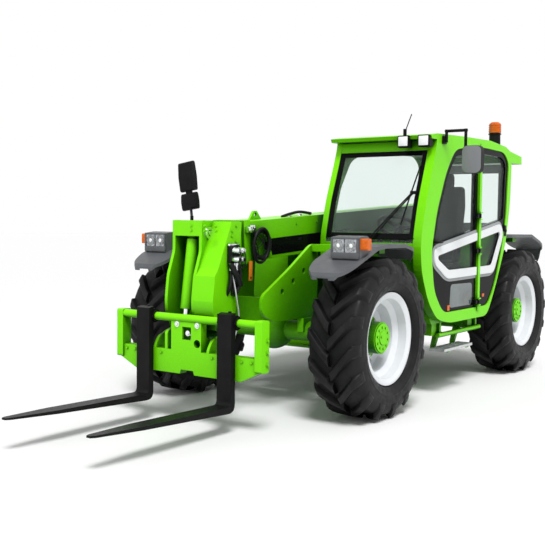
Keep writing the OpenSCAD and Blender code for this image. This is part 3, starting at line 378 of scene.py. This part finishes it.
# wheels
tyre = dict(lugs=16, sweep=17.0, flank=2.4, foot=0.5, shoulder=(0.5, 0.010), lip=(0.15, 0.0015), crown=0.8,
            steps=96)
tyreProfile = [(0.0, 0.547), (0.06, 0.547), (0.12, 0.5455), (0.1565, 0.543), (0.176, 0.531), (0.190, 0.508),
               (0.197, 0.490), (0.2005, 0.462), (0.2022, 0.440), (0.2025, 0.425), (0.2005, 0.408),
               (0.2018, 0.404), (0.1998, 0.400), (0.195, 0.384), (0.187, 0.366), (0.178, 0.353),
               (0.1765, 0.352), (0.170, 0.3455), (0.164, 0.342), (0.150, 0.3385), (0.149, 0.3025)]
lugRows = [(0.0, 0.5848, 0.0, 0.546), (0.03, 0.5848, 0.16, 0.546), (0.09, 0.584, 0.56, 0.545),
           (0.14, 0.5815, 0.89, 0.542), (0.1565, 0.580, 1.0, 0.541), (0.172, 0.568, 1.04, 0.528),
           (0.186, 0.546, 1.08, 0.508), (0.1965, 0.521, 1.11, 0.487), (0.2005, 0.511, 1.12, 0.478),
           (0.2015, 0.502, 1.125, 0.470)]  # across, top radius, share of the sweep, foot radius


def lugSection(mid, top, low):
    crest, foot = 90 / tyre["lugs"] - tyre["flank"], 90 / tyre["lugs"] - tyre["foot"]
    flank = [(foot, low), (crest + tyre["shoulder"][0], top - tyre["shoulder"][1]),
             (crest - tyre["lip"][0], top - tyre["lip"][1]), (crest - tyre["crown"], top)]
    return [(math.radians(mid + turn), r) for turn, r in [(-turn, r) for turn, r in flank] + flank[::-1]]


def buildTyre(node, cx, side, body):
    bm = bmesh.new()
    centre = Vector((cx, side * machine["tyreY"], machine["hubZ"]))
    full = [(-y, r) for y, r in tyreProfile[::-1]] + tyreProfile[1:]
    ring = [bm.verts.new(centre + Vector((0, y, r))) for y, r in full]
    edges = [bm.edges.new(pair) for pair in zip(ring, ring[1:] + ring[:1])]
    bmesh.ops.spin(bm, geom=ring + edges, cent=centre, axis=(0, 1, 0), angle=2 * math.pi, steps=tyre["steps"],
                   use_merge=True)
    for half in (0, 1):  # lugs of the two halves lie half a pitch apart
        rows = []
        for y, top, share, low in lugRows:
            section = lugSection(180 / tyre["lugs"] * half - share * tyre["sweep"], top, low)
            across = side * (-y if half else y)
            rows.append([centre + Vector((r * math.sin(a), across, r * math.cos(a))) for a, r in section])
        old = set(bm.verts[:] + bm.edges[:] + bm.faces[:])
        sweep(bm, rows)
        lug = [g for g in bm.verts[:] + bm.edges[:] + bm.faces[:] if g not in old]
        bmesh.ops.spin(bm, geom=lug, cent=centre, axis=(0, 1, 0), angle=2 * math.pi * (1 - 1 / tyre["lugs"]),
                       steps=tyre["lugs"] - 1, use_duplicate=True)
    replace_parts(piece(node + "Visual", bm, body, "tyre", 32), node)


hub = dict(rimHalf=0.165, faceIn=0.058, discIn=0.215, bolts=10, turn=0.2, ring=0.078, sink=0.008,
           boltR=0.0085, boltH=0.015, capR=0.052, capTop=0.048, capH=0.006, plug=(0.03, 0, 0.012),
           plugR=0.009, plugH=0.012)
nuts = dict(count=8, ring=0.138, proud=0.034, r=0.0125, h=0.02)
valve = dict(path=((0.262, 0.085, -0.05), (0.252, 0.14, -0.048), (0.250, 0.155, -0.0475)), r=0.006,
             capR=0.0075)
for end, axleX in (("front", machine["axle"]), ("rear", -machine["axle"])):
    for word, side in (("left", 1), ("right", -1)):
        wheel = "%s_%s" % (end, word)
        body = wheel + "_wheel"
        out = Vector((0, side, 0))
        centre = Vector((axleX - midX, 0, machine["hubZ"]))
        face, disc = [side * (machine["tyreY"] + hub["rimHalf"] - hub[key]) for key in ("faceIn", "discIn")]
        buildTyre("tyre_" + wheel, centre.x, side, body)
        bm = bmesh.new()
        for k in range(hub["bolts"]):
            turn = 2 * math.pi * k / hub["bolts"] + hub["turn"]
            p = onRing(centre, hub["ring"], turn, face - side * hub["sink"])
            hexBolt(bm, p, out, hub["boltR"], hub["boltH"], False)
        cap = centre + Vector((0, face, 0))
        rod(bm, cap - out * 0.001, cap + out * hub["capH"], hub["capR"], 40, hub["capTop"])
        plug = cap + Vector(hub["plug"])
        rod(bm, plug, plug + out * hub["plugH"], hub["plugR"], 6)
        piece("hubFace_" + wheel, bm, body, "lime")
        bm = bmesh.new()
        for k in range(nuts["count"]):
            p = onRing(centre, nuts["ring"], 2 * math.pi * k / nuts["count"], disc + side * nuts["proud"])
            hexBolt(bm, p, out, nuts["r"], nuts["h"])
        foot, neck, tip = [centre + Vector((x, disc + side * y, z)) for x, y, z in valve["path"]]
        rod(bm, foot, neck, valve["r"], 14)
        rod(bm, neck, tip, valve["capR"], 14, mat=1)
        piece("wheelNuts_" + wheel, bm, body, "bolt rubber")
print("stage wheels")

# boom
boom = dict(pivotX=-1550, pivotZ=1440, slope=math.radians(3.6), left=-5, right=-275, top=175)


def onBoom(s, y, h):  # along, across and above the boom
    c, n = math.cos(boom["slope"]), math.sin(boom["slope"])
    return at(boom["pivotX"] + s * c + h * n, y, boom["pivotZ"] - s * n + h * c)


band = dict(start=1750, end=2945, slant=40, low=-100, high=28, proud=2.0)
bm = bmesh.new()
corners = [(band["start"], band["low"]), (band["end"], band["low"]),
           (band["end"] + band["slant"], band["high"]), (band["start"], band["high"])]
outline = [onBoom(s, 0, h) for s, h in corners]
slab(bm, [(p.x, p.z) for p in outline], "y", boom["left"] / 1000, (boom["left"] + band["proud"]) / 1000)
piece("boomBand", bm, "boom", "panel")

collar = dict(s=3265, heights=(-85, -30, 60, 120, 150), topS=3270, across=(-230, -185, -95, -50),
              plates=((3190, 95), (3190, -50), (2600, 120), (2300, 120)), big=(0.011, 0.012),
              small=(0.008, 0.008))
bm = bmesh.new()
for h in collar["heights"]:
    hexBolt(bm, onBoom(collar["s"], boom["left"] - 1, h), (0, 1, 0), *collar["big"])
    hexBolt(bm, onBoom(collar["s"], boom["right"] + 1, h), (0, -1, 0), *collar["big"])
for y in collar["across"]:
    hexBolt(bm, onBoom(collar["topS"], y, boom["top"] - 1), (0, 0, 1), *collar["big"])
for s, h in collar["plates"]:
    hexBolt(bm, onBoom(s, boom["left"] - 1, h), (0, 1, 0), *collar["small"])
piece("boomBolts", bm, "boom", "lime")

reel = dict(centre=(1560, 25, 1240), radius=0.1, stringR=0.0035, belly=0.008, ties=26, tieR=0.0172,
            tieHalf=0.004, strings=((50, 215), (95, 255), (130, 325), (25, 290), (160, 20)))
loop = dict(centre=(1590, 42, 1232), reach=(98, 10, 128), count=24, r=0.012)
boomHoses = [(0.015, [(1645, 27, 1290), (1680, 32, 1335), (1712, 26, 1352), (1730, 18, 1350)]),
             (0.013, [(1470, 22, 1195), (1500, 30, 1150), (1560, 30, 1133), (1640, 30, 1150)]),
             (0.012, [(1120, -100, 1452), (1000, -104, 1476), (861, -104, 1494), (700, -100, 1484)])]
bm = bmesh.new()
centre = at(*reel["centre"])
for pair in reel["strings"]:
    a, b = [onRing(centre, reel["radius"], math.radians(turn), 0) for turn in pair]
    hose(bm, [a, (a + b) / 2 + Vector((0, reel["belly"], 0)), b], reel["stringR"], 8, 6)
for k in range(reel["ties"]):
    turn = 2 * math.pi * k / reel["ties"]
    p = onRing(centre, reel["radius"], turn, 0)
    along = Vector((-math.sin(turn), 0, math.cos(turn))) * reel["tieHalf"]
    rod(bm, p - along, p + along, reel["tieR"], 14)
(x, y, z), (rx, ry, rz) = loop["centre"], loop["reach"]
turns = [2 * math.pi * k / loop["count"] for k in range(loop["count"] + 1)]
path = [at(x + rx * math.cos(t), y + ry * math.sin(t), z + rz * math.sin(t)) for t in turns]
hose(bm, path, loop["r"], 12, 3)
hoses(bm, boomHoses)
piece("boomHoseDress", bm, "boom", "rubber")

fitting = dict(y=(10, 36), nut=0.012, sleeve=0.014, knobs=(1648, 1668, 1688), knob=0.011)
bm = bmesh.new()
rods(bm, [(fitting["nut"], (1722, y, 1350), (1752, y, 1352)) for y in fitting["y"]], 6)
rods(bm, [(fitting["sleeve"], (1700, y, 1348), (1724, y, 1350)) for y in fitting["y"]], 18)
rods(bm, [(fitting["knob"], (x, 12, 1372), (x, 12, 1384)) for x in fitting["knobs"]], 6)
cubes(bm, [(0.004, (1700, -4, 1328), (1752, 48, 1372)), (0.004, (1640, -4, 1340), (1698, 30, 1374)),
           (0.002, (990, -118, 1440), (1010, -88, 1462)), (0.002, (851, -118, 1440), (871, -88, 1478))])
piece("boomFittings", bm, "boom", "chrome")
bm = bmesh.new()
cubes(bm, [(0.001, (1684, 27, 972), (1724, 31, 1118))])
rods(bm, [(0.008, (1704, 24, 994), (1704, 34, 994))], 16, 1)
piece("orangeStrap", bm, "boom", "orange steel")
print("stage boom")

# head
head = dict(pinX=2150, pinZ=1327, plate=-5, box=165)
pinCap = dict(r=0.047, top=0.044, h=12, centreR=0.016, centreH=15)
coupler = dict(x=(2078, 2130), z=(1148, 1210), nut=(30, 44, 0.0225), body=(45, 79, 0.019),
               nose=(78, 90, 0.0165, 0.014), rings=5, ringR=0.0205, ringY=46, ringStep=6.5, ringW=4)
portX = (2072, 2104, 2136)
bm = bmesh.new()
x, y, z = head["pinX"], head["plate"], head["pinZ"]
rod(bm, at(x, y - 2, z), at(x, y + pinCap["h"], z), pinCap["r"], 40, pinCap["top"])
rod(bm, at(x, y + pinCap["h"] - 1, z), at(x, y + pinCap["centreH"], z), pinCap["centreR"], 24)
y = head["box"]
for x in coupler["x"]:
    for z in coupler["z"]:
        low, high, r = coupler["nut"]
        rod(bm, at(x, y + low, z), at(x, y + high, z), r, 6)
        for k in range(coupler["rings"]):
            low = y + coupler["ringY"] + coupler["ringStep"] * k
            rod(bm, at(x, low, z), at(x, low + coupler["ringW"], z), coupler["ringR"], 28)
        low, high, r = coupler["body"]
        rod(bm, at(x, y + low, z), at(x, y + high, z), r, 28)
        low, high, r, tipR = coupler["nose"]
        rod(bm, at(x, y + low, z), at(x, y + high, z), r, 28, tipR)
rods(bm, [(0.0155, (x, y + 15, 1094), (x, y + 15, 1119)) for x in portX], 6)
rods(bm, [(0.0138, (x, y + 15, 1070), (x, y + 15, 1094)) for x in portX], 20)
cubes(bm, [(0.003, (2046, y + 4, 1241), (2164, y + 26, 1256))])
piece("headChrome", bm, "telescope", "chrome")

headBolt = dict(side=((2107, 1344), (2107, 1310), (2060, 1380), (2060, 1270)), sideSize=(0.009, 0.009),
                frontX=2229, frontY=(-100, 20, 120), frontZ=(1345, 1378), frontSize=(0.008, 0.008))
bm = bmesh.new()
for x, z in headBolt["side"]:
    hexBolt(bm, at(x, head["box"] - 1, z), (0, 1, 0), *headBolt["sideSize"])
for z in headBolt["frontZ"]:
    for y in headBolt["frontY"]:
        hexBolt(bm, at(headBolt["frontX"], y, z), (1, 0, 0), *headBolt["frontSize"])
piece("headBolts", bm, "telescope", "lime")

portLean = (-16, 4, 18)
headHoses = [(0.021, [(2150, 190, 1118), (2132, 214, 1060), (2098, 218, 1010), (2068, 212, 965)])]
sideHose = [(0.013, [(2060, 182, 1120), (2050, 196, 1060), (2060, 205, 1000), (2082, 205, 940),
                     (2092, 180, 890)])]
dustStrings = [(0.004, [(x, 250, 1210), (x - 4, 262, 1170), (x - 2, 262, 1120), (x + 6, 240, 1085)])
               for x in coupler["x"]]
silver = [(0.0065, [(2120, 184, 1042), (2112, 198, 960), (2096, 205, 860), (2074, 206, 740),
                    (2092, 190, 620), (2140, 170, 560), (2215, 160, 520)])]
bm = bmesh.new()
for k, (x, lean) in enumerate(zip(portX, portLean)):
    hoses(bm, [(0.0115, [(x, 180, 1045), (x + lean * 0.4, 186, 990), (x + lean, 176, 930),
                         (x + lean * 0.6, 130, 868), (x - 8, 70 - 8 * k, 838)])], 12, 7)
hoses(bm, dustStrings, 8)
hoses(bm, headHoses, 14, 7)
hoses(bm, sideHose, 12, 7)
piece("headHoses", bm, "telescope", "rubber")
bm = bmesh.new()
hoses(bm, silver, 10, 8)
piece("silverHose", bm, "telescope", "alu")
print("stage head")

# carriage
carriage = dict(front=2393, boltZ=700, boltY=(-84, 96), eyeZ=640, shaftX=2378, shaftZ=742,
                forkY=(-365, 365), collar=72, collarHalf=7, collarR=0.038, stopper=(60, 74, 0.012),
                endX=2345, endY=649, endZ=(480, 560, 640), lowY=(230, 480, 560), lowZ=492,
                bolt=(0.0135, 0.015), setScrew=(0.006, 0.007), endBolt=(0.011, 0.012), lowBolt=(0.009, 0.009))
front = carriage["front"]
bm = bmesh.new()
for y in carriage["boltY"]:
    hexBolt(bm, at(front - 1, y, carriage["boltZ"]), (1, 0, 0), *carriage["bolt"])
rods(bm, [(0.019, (front - 40, 0, carriage["eyeZ"]), (front - 12, 0, carriage["eyeZ"]))], 24)
rods(bm, [(0.013, (front - 14, 0, carriage["eyeZ"]), (front - 4, 0, carriage["eyeZ"]))], 6)
piece("carriageChrome", bm, "carriage", "chrome")
x, z = carriage["shaftX"], carriage["shaftZ"]
low, high, stopperR = carriage["stopper"]
half = carriage["collarHalf"]
bm = bmesh.new()
for fork in carriage["forkY"]:
    for y in (fork - carriage["collar"], fork + carriage["collar"]):
        rod(bm, at(x, y - half, z), at(x, y + half, z), carriage["collarR"], 28)
        hexBolt(bm, at(x + 36, y, z), (1, 0, 0), *carriage["setScrew"], False)
    rod(bm, at(x, fork, z + low), at(x, fork, z + high), stopperR, 18)
piece("forkCollars", bm, "carriage", "steel")
bm = bmesh.new()
for side in (-1, 1):
    for z in carriage["endZ"]:
        hexBolt(bm, at(carriage["endX"], side * carriage["endY"], z), (0, side, 0), *carriage["endBolt"])
    for y in carriage["lowY"]:
        hexBolt(bm, at(front - 1, side * y, carriage["lowZ"]), (1, 0, 0), *carriage["lowBolt"])
piece("carriageBolts", bm, "carriage", "lime")
print("stage carriage")

# cab
pillar = [(800, 1272), (722, 1577), (604, 1880), (562, 2000), (548, 2068)]
cab = dict(left=908, right=112, liner=2046, doorOut=960)
header = dict(low=1985, high=2062, border=40, out=6, side=46, sideFoot=1290, sill=(1282, 1330), sink=6,
              lift=0.6)


def screenX(z):
    for (x0, z0), (x1, z1) in zip(pillar, pillar[1:]):
        if z <= z1:
            return x0 + (x1 - x0) * (z - z0) / (z1 - z0)
    return pillar[-1][0]


def screenStrip(bm, y0, y1, z0, z1, out=1.5, n=14):
    rows = []
    for z in [z0 + (z1 - z0) * k / n for k in range(n + 1)]:
        section = ((header["lift"], y0), (header["lift"], y1), (out, y1), (out, y0))
        rows.append([at(screenX(z) - header["sink"] + o, y, z) for o, y in section])
    sweep(bm, rows)


left, right, top = cab["left"], cab["right"], header["low"] - 1
inner = header["side"] + 1
bm = bmesh.new()
screenStrip(bm, left - header["side"], left, header["sideFoot"], top)
screenStrip(bm, right, right + header["side"], header["sideFoot"], top)
screenStrip(bm, right + inner, left - inner, *header["sill"])
screenStrip(bm, right + inner, left - inner, header["low"] - header["border"], top)
piece("screenBorder", bm, "chassis", "panel")
bm = bmesh.new()
screenStrip(bm, right, left, header["low"], header["high"], header["out"])
piece("screenHeader", bm, "chassis", "lime")

wiper = dict(footY=508, footZ=1268, tipY=842, tipZ=1650, gap=26, armR=0.0055, clampZ=1655,
             bladeZ=(1400, 1860), bladeY=(-60, 22), bladeR=0.006, spindle=0.02, footOut=16, tipOut=14,
             spread=0.6, bow=0.008, bladeOut=5, bladeBow=0.003)
bm = bmesh.new()
for d in (0, wiper["gap"]):
    a = at(screenX(wiper["footZ"]) + wiper["footOut"], wiper["footY"] + d, wiper["footZ"])
    b = at(screenX(wiper["tipZ"]) + wiper["tipOut"], wiper["tipY"] + d * wiper["spread"], wiper["tipZ"])
    hose(bm, [a, a.lerp(b, 0.5) + Vector((wiper["bow"], 0, 0)), b], wiper["armR"], 10, 8)
x = screenX(wiper["clampZ"])
cubes(bm, [(0.003, (x + 6, wiper["tipY"] - 16, 1636), (x + 24, wiper["tipY"] + 36, 1662))])
ends = zip(wiper["bladeY"], wiper["bladeZ"])
a, b = [at(screenX(z) + wiper["bladeOut"], wiper["tipY"] + y, z) for y, z in ends]
hose(bm, [a, a.lerp(b, 0.5) + Vector((wiper["bladeBow"], 0, 0)), b], wiper["bladeR"], 8, 10)
x, z = screenX(wiper["footZ"]), wiper["footZ"]
rods(bm, [(wiper["spindle"], (x - 4, wiper["footY"], z), (x + 26, wiper["footY"], z))], 24)
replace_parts(piece("wiperArms", bm, "chassis", "steel"), "wiper")

linerZ = cab["liner"]
linerRows = [(0.008, (-840, 118, linerZ - 8), (500, 902, linerZ + 10)),
             (0.01, (-560, 640, linerZ - 44), (-380, 820, linerZ - 8)),
             (0.006, (-1010, 118, 1330), (-985, 902, 1420)), (0.006, (-1010, 118, 1880), (-985, 902, 1960)),
             (0.006, (-1005, 120, 1400), (-975, 150, 1900)), (0.006, (-1005, 872, 1400), (-975, 902, 1900))]
bm = bmesh.new()
cubes(bm, linerRows)
piece("cabLiner", bm, "chassis", "liner")


cushion = dict(weld=0.0005, flat=0.05, edge=0.035, steps=5, fill=0.7)


def pad(name, node):
    bm = bmesh.new()
    bm.from_mesh(nodes[node].data)
    bmesh.ops.remove_doubles(bm, verts=bm.verts, dist=cushion["weld"])
    bmesh.ops.dissolve_limit(bm, angle_limit=cushion["flat"], verts=bm.verts, edges=bm.edges)
    roundEdges(bm, bm.edges, cushion["edge"], cushion["steps"])
    o = piece(name, bm, "chassis", "cloth", 80)
    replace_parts(o, node)


pad("seatPad", "seat_cushion")
pad("backPad", "seat_back")
seat = dict(bolsterY=(322, 668), seamZ=(1180, 1300, 1420), seamX=-352, lean=0.215, leanFrom=1060,
            postY=(470, 570))
bm = bmesh.new()
cubes(bm, [(0.016, (-440, y, 1058), (-20, y + 50, 1092)) for y in seat["bolsterY"]])
for z in seat["seamZ"]:
    x = seat["seamX"] - (z - seat["leanFrom"]) * seat["lean"]
    cubes(bm, [(0.003, (x - 20, 380, z - 4), (x + 24, 660, z + 4))])
cubes(bm, [(0.034, (-560, 400, 1722), (-478, 640, 1860))])
rods(bm, [(0.008, (-525, y, 1700), (-525, y, 1740)) for y in seat["postY"]], 14)
piece("seatTrim", bm, "chassis", "cloth")

pedalY = (560, 660)
bm = bmesh.new()
cubes(bm, [(0.012, (470, 690, 1215), (520, 850, 1330)), (0.018, (12, 178, 1170), (66, 226, 1262))])
cubes(bm, [(0.001, (466, 702, 1228), (471, 838, 1318))], 1)
rods(bm, [(0.02, (500, 770, 1200), (500, 770, 1225))], 18)
rods(bm, [(0.012, (60, 190, 1035), (40, 200, 1180))], 16)
rods(bm, [(0.007, (470, 430, 1180), (500, 330, 1215)), (0.007, (470, 610, 1180), (500, 700, 1205))], 12)
cubes(bm, [(0.006, (600, y, 672), (622, y + 60, 782)) for y in pedalY])
rods(bm, [(0.009, (612, y + 30, 780), (640, y + 30, 860)) for y in pedalY], 12)
piece("cabControls", bm, "chassis", "trim screen")

doorOut = cab["doorOut"]
reflectors = [("doorReflector", "door", (234, 276), (700, 746)),
              ("sideReflector", "chassis", (-490, -440), (772, 800))]
for name, body, (x0, x1), (z0, z1) in reflectors:
    bm = bmesh.new()
    cubes(bm, [(0.002, (x0, doorOut - 1, z0), (x1, doorOut + 4, z1))])
    piece(name, bm, body, "amber")
handle = [(0.009, [(452, 962, 1264), (462, 992, 1264), (500, 1000, 1264), (540, 992, 1264),
                   (548, 962, 1264)])]
bm = bmesh.new()
cubes(bm, [(0.002, (440, doorOut - 1, 1236), (552, doorOut + 3, 1290))])
hoses(bm, handle)
piece("doorHandle", bm, "door", "steel")
bm = bmesh.new()
cubes(bm, [(0.006, (-945, 958, 1300), (-905, 978, 1400))])
rods(bm, [(0.014, (-925, 976, 1350), (-925, 984, 1350))], 20)
piece("rearLatch", bm, "chassis", "steel")

trimBorder = dict(corners=[(552, 1212), (-821, 1415), (-885, 1315), (-671, 977), (304, 964), (549, 1094)],
                  radius=90, inside=4, width=26, back=959.5, crest=965, lip=963)
halves = [("doorTrimBorder", "door", -285, 1), ("quarterTrimBorder", "chassis", -355, -1)]
outline = roundPoly(trimBorder["corners"], trimBorder["radius"])
middle = sum(outline, Vector((0, 0))) / len(outline)
rows = []
for i, p in enumerate(outline):
    along = (outline[(i + 1) % len(outline)] - outline[i - 1]).normalized()
    out = Vector((along.y, -along.x))
    out = out if out.dot(p - middle) > 0 else -out
    a, b = p - out * trimBorder["inside"], p + out * trimBorder["width"]
    section = zip((a, a, b, b), [trimBorder[key] for key in ("back", "crest", "lip", "back")])
    rows.append([at(q.x, y, q.y) for q, y in section])
for name, body, cutX, keep in halves:
    bm = bmesh.new()
    ends = sweep(bm, rows + rows[:1])
    bmesh.ops.delete(bm, geom=ends, context="FACES_ONLY")
    bmesh.ops.remove_doubles(bm, verts=bm.verts, dist=0.000001)
    bmesh.ops.bisect_plane(bm, geom=bm.verts[:] + bm.edges[:] + bm.faces[:], plane_co=at(cutX, 0, 0),
                           plane_no=(-keep, 0, 0), clear_outer=True)
    bmesh.ops.holes_fill(bm, edges=[e for e in bm.edges if e.is_boundary], sides=8)
    piece(name, bm, body, "border", 50)
pane = dict(corners=[(215, 915), (-215, 908), (-215, 722), (235, 722)], radius=40, y=(0.9598, 0.9618))
bm = bmesh.new()
outline = roundPoly(pane["corners"], pane["radius"])
slab(bm, [(p.x / 1000 - midX, p.y / 1000) for p in outline], "y", *pane["y"])
piece("lowerPane", bm, "door", "pane")
roofLampY = (690, 866)
bm = bmesh.new()
cubes(bm, [(0.006, (652, y - 4, 2006), (672, y + 96, 2098)) for y in roofLampY])
cubes(bm, [(0.003, (670, y + 6, 2015), (677, y + 86, 2089)) for y in roofLampY], 1)
piece("roofLampFaces", bm, "chassis", "steel lampWhite")
print("stage cab")

# lamps
beacon = dict(x=-925, y=850, low=2108, neck=2246, shoulder=2329, top=2343, ribs=4, ribFrom=14, ribStep=18,
              ribH=5)


def beaconRing(bm, z0, z1, r, r2=None, seg=40):
    rod(bm, at(beacon["x"], beacon["y"], z0), at(beacon["x"], beacon["y"], z1), r, seg, r2)


bm = bmesh.new()
beaconRing(bm, beacon["low"], beacon["neck"], 0.053, 0.05, 36)
beaconRing(bm, beacon["neck"] - 16, beacon["neck"] - 6, 0.058, None, 36)
piece("beaconBase", bm, "chassis", "steel")
bm = bmesh.new()
beaconRing(bm, beacon["neck"], beacon["shoulder"], 0.056, 0.052)
beaconRing(bm, beacon["shoulder"], beacon["top"], 0.052, 0.034)
for k in range(beacon["ribs"]):
    z = beacon["neck"] + beacon["ribFrom"] + beacon["ribStep"] * k
    beaconRing(bm, z, z + beacon["ribH"], 0.0575)
piece("beaconDome", bm, "chassis", "amber")

lampRow = dict(face=1766, y=(822, 924), z=1254, bowlR=0.041, bulbR=0.017, bulbTip=0.011)
bezels = dict(x=(1756, 1774), bars=((766, 982, 1166, 1208), (766, 982, 1298, 1312), (766, 780, 1208, 1298),
                                    (968, 982, 1208, 1298), (870, 876, 1208, 1298)))
x, z = lampRow["face"], lampRow["z"]
bm = bmesh.new()
for y in [side * y for side in (-1, 1) for y in lampRow["y"]]:
    rod(bm, at(x - 6, y, z), at(x + 3, y, z), lampRow["bowlR"], 36, mat=1)
    rod(bm, at(x + 2, y, z), at(x + 5, y, z), lampRow["bulbR"], 24, lampRow["bulbTip"])
piece("lampBowls", bm, "chassis", "chrome bowl")
bm = bmesh.new()
for side in (-1, 1):
    for y0, y1, z0, z1 in bezels["bars"]:
        low, high = sorted((side * y0, side * y1))
        cubes(bm, [(0.003, (bezels["x"][0], low, z0), (bezels["x"][1], high, z1))])
piece("lampBezels", bm, "chassis", "grey")
mirror = [((1.136, 1.292, 1.807, 2.018, 0.042), (0.444, 0.449), 0.002),
          ((1.146, 1.282, 1.817, 2.008, 0.036), (0.386, 0.391), 0.001)]  # shell and glass: outline, depth, rim
bm = bmesh.new()
for mat, (outline, (x0, x1), rim) in enumerate(mirror):
    slab(bm, roundRect(*outline), "x", x0 - midX, x1 - midX, mat, rim)
piece("mirrorShell", bm, "chassis", "mirrorGrey chrome")
print("stage lamps")

# floor and light
scene = bpy.context.scene
studio = dict(world=0.36, sun=2.45, spread=18, sunWay=(-0.42, -0.38, -0.82), floor=60, pale=0.985)
lamps = [("keyLight", (3.5, 5.5, 6.5), (0, 0, 0.8), 4.5, 60),
         ("fillLight", (6.5, -2.5, 3.0), (0.6, 0, 0.8), 4.0, 30),
         ("backLight", (-5.5, 4.0, 5.0), (-0.8, 0, 1.0), 4.0, 30)]  # name, place, aim, size, power


def stand(name, data):
    o = bpy.data.objects.new(name, data)
    scene.collection.objects.link(o)
    return o


bm = bmesh.new()
bmesh.ops.create_grid(bm, x_segments=1, y_segments=1, size=studio["floor"])
mesh = bpy.data.meshes.new("floor")
bm.to_mesh(mesh)
bm.free()
mesh.materials.append(start("floorWhite", (studio["pale"],) * 3, 0.8, shine=0.1)[0])
stand("floor", mesh)
world = bpy.data.worlds.new("studio")
scene.world = world
world.use_nodes = True
background = world.node_tree.nodes["Background"]
background.inputs["Color"].default_value = (1, 1, 1, 1)
rays = ("Is Camera Ray", "Is Glossy Ray", "Is Transmission Ray")
camRay, glossRay, clearRay = [Sock(world.node_tree).make("ShaderNodeLightPath", {}, ray) for ray in rays]
seen = camRay + glossRay + clearRay > 0.5
level = studio["world"] + (1 - studio["world"]) * seen  # white to the eye, softer as light
level.feed(background, "Strength")
sun = bpy.data.lights.new("sunLight", "SUN")
sun.energy = studio["sun"]
sun.angle = math.radians(studio["spread"])
stand("sunLight", sun).rotation_euler = Vector(studio["sunWay"]).to_track_quat("-Z", "Y").to_euler()
for name, place, aim, size, power in lamps:
    light = bpy.data.lights.new(name, "AREA")
    light.size = size
    light.energy = power
    o = stand(name, light)
    o.location = place
    o.rotation_euler = (Vector(aim) - Vector(place)).to_track_quat("-Z", "Y").to_euler()

# camera
shot = dict(pos=(7.08, 4.0526, 1.4223), yaw=3.7599, pitch=-0.0577, roll=0.0112, focal=904.5, pixels=545,
            film=36.0)
run = math.cos(shot["pitch"])
ahead = Vector((math.cos(shot["yaw"]) * run, math.sin(shot["yaw"]) * run, math.sin(shot["pitch"])))
flat = ahead.cross(Vector((0, 0, 1))).normalized()
over = flat.cross(ahead)
right = flat * math.cos(shot["roll"]) + over * math.sin(shot["roll"])
up = over * math.cos(shot["roll"]) - flat * math.sin(shot["roll"])
cam = bpy.data.cameras.new("camera")
cam.sensor_width = shot["film"]
cam.lens = shot["film"] * shot["focal"] / shot["pixels"]
cam.clip_end = 200
camera = bpy.data.objects.new("camera", cam)
scene.collection.objects.link(camera)
scene.camera = camera
turn = Matrix((right, up, -ahead)).transposed().to_4x4()
camera.matrix_world = Matrix.Translation(Vector(shot["pos"]) - Vector((midX, 0, 0))) @ turn
scene.view_settings.view_transform = "Standard"
print("stage camera")
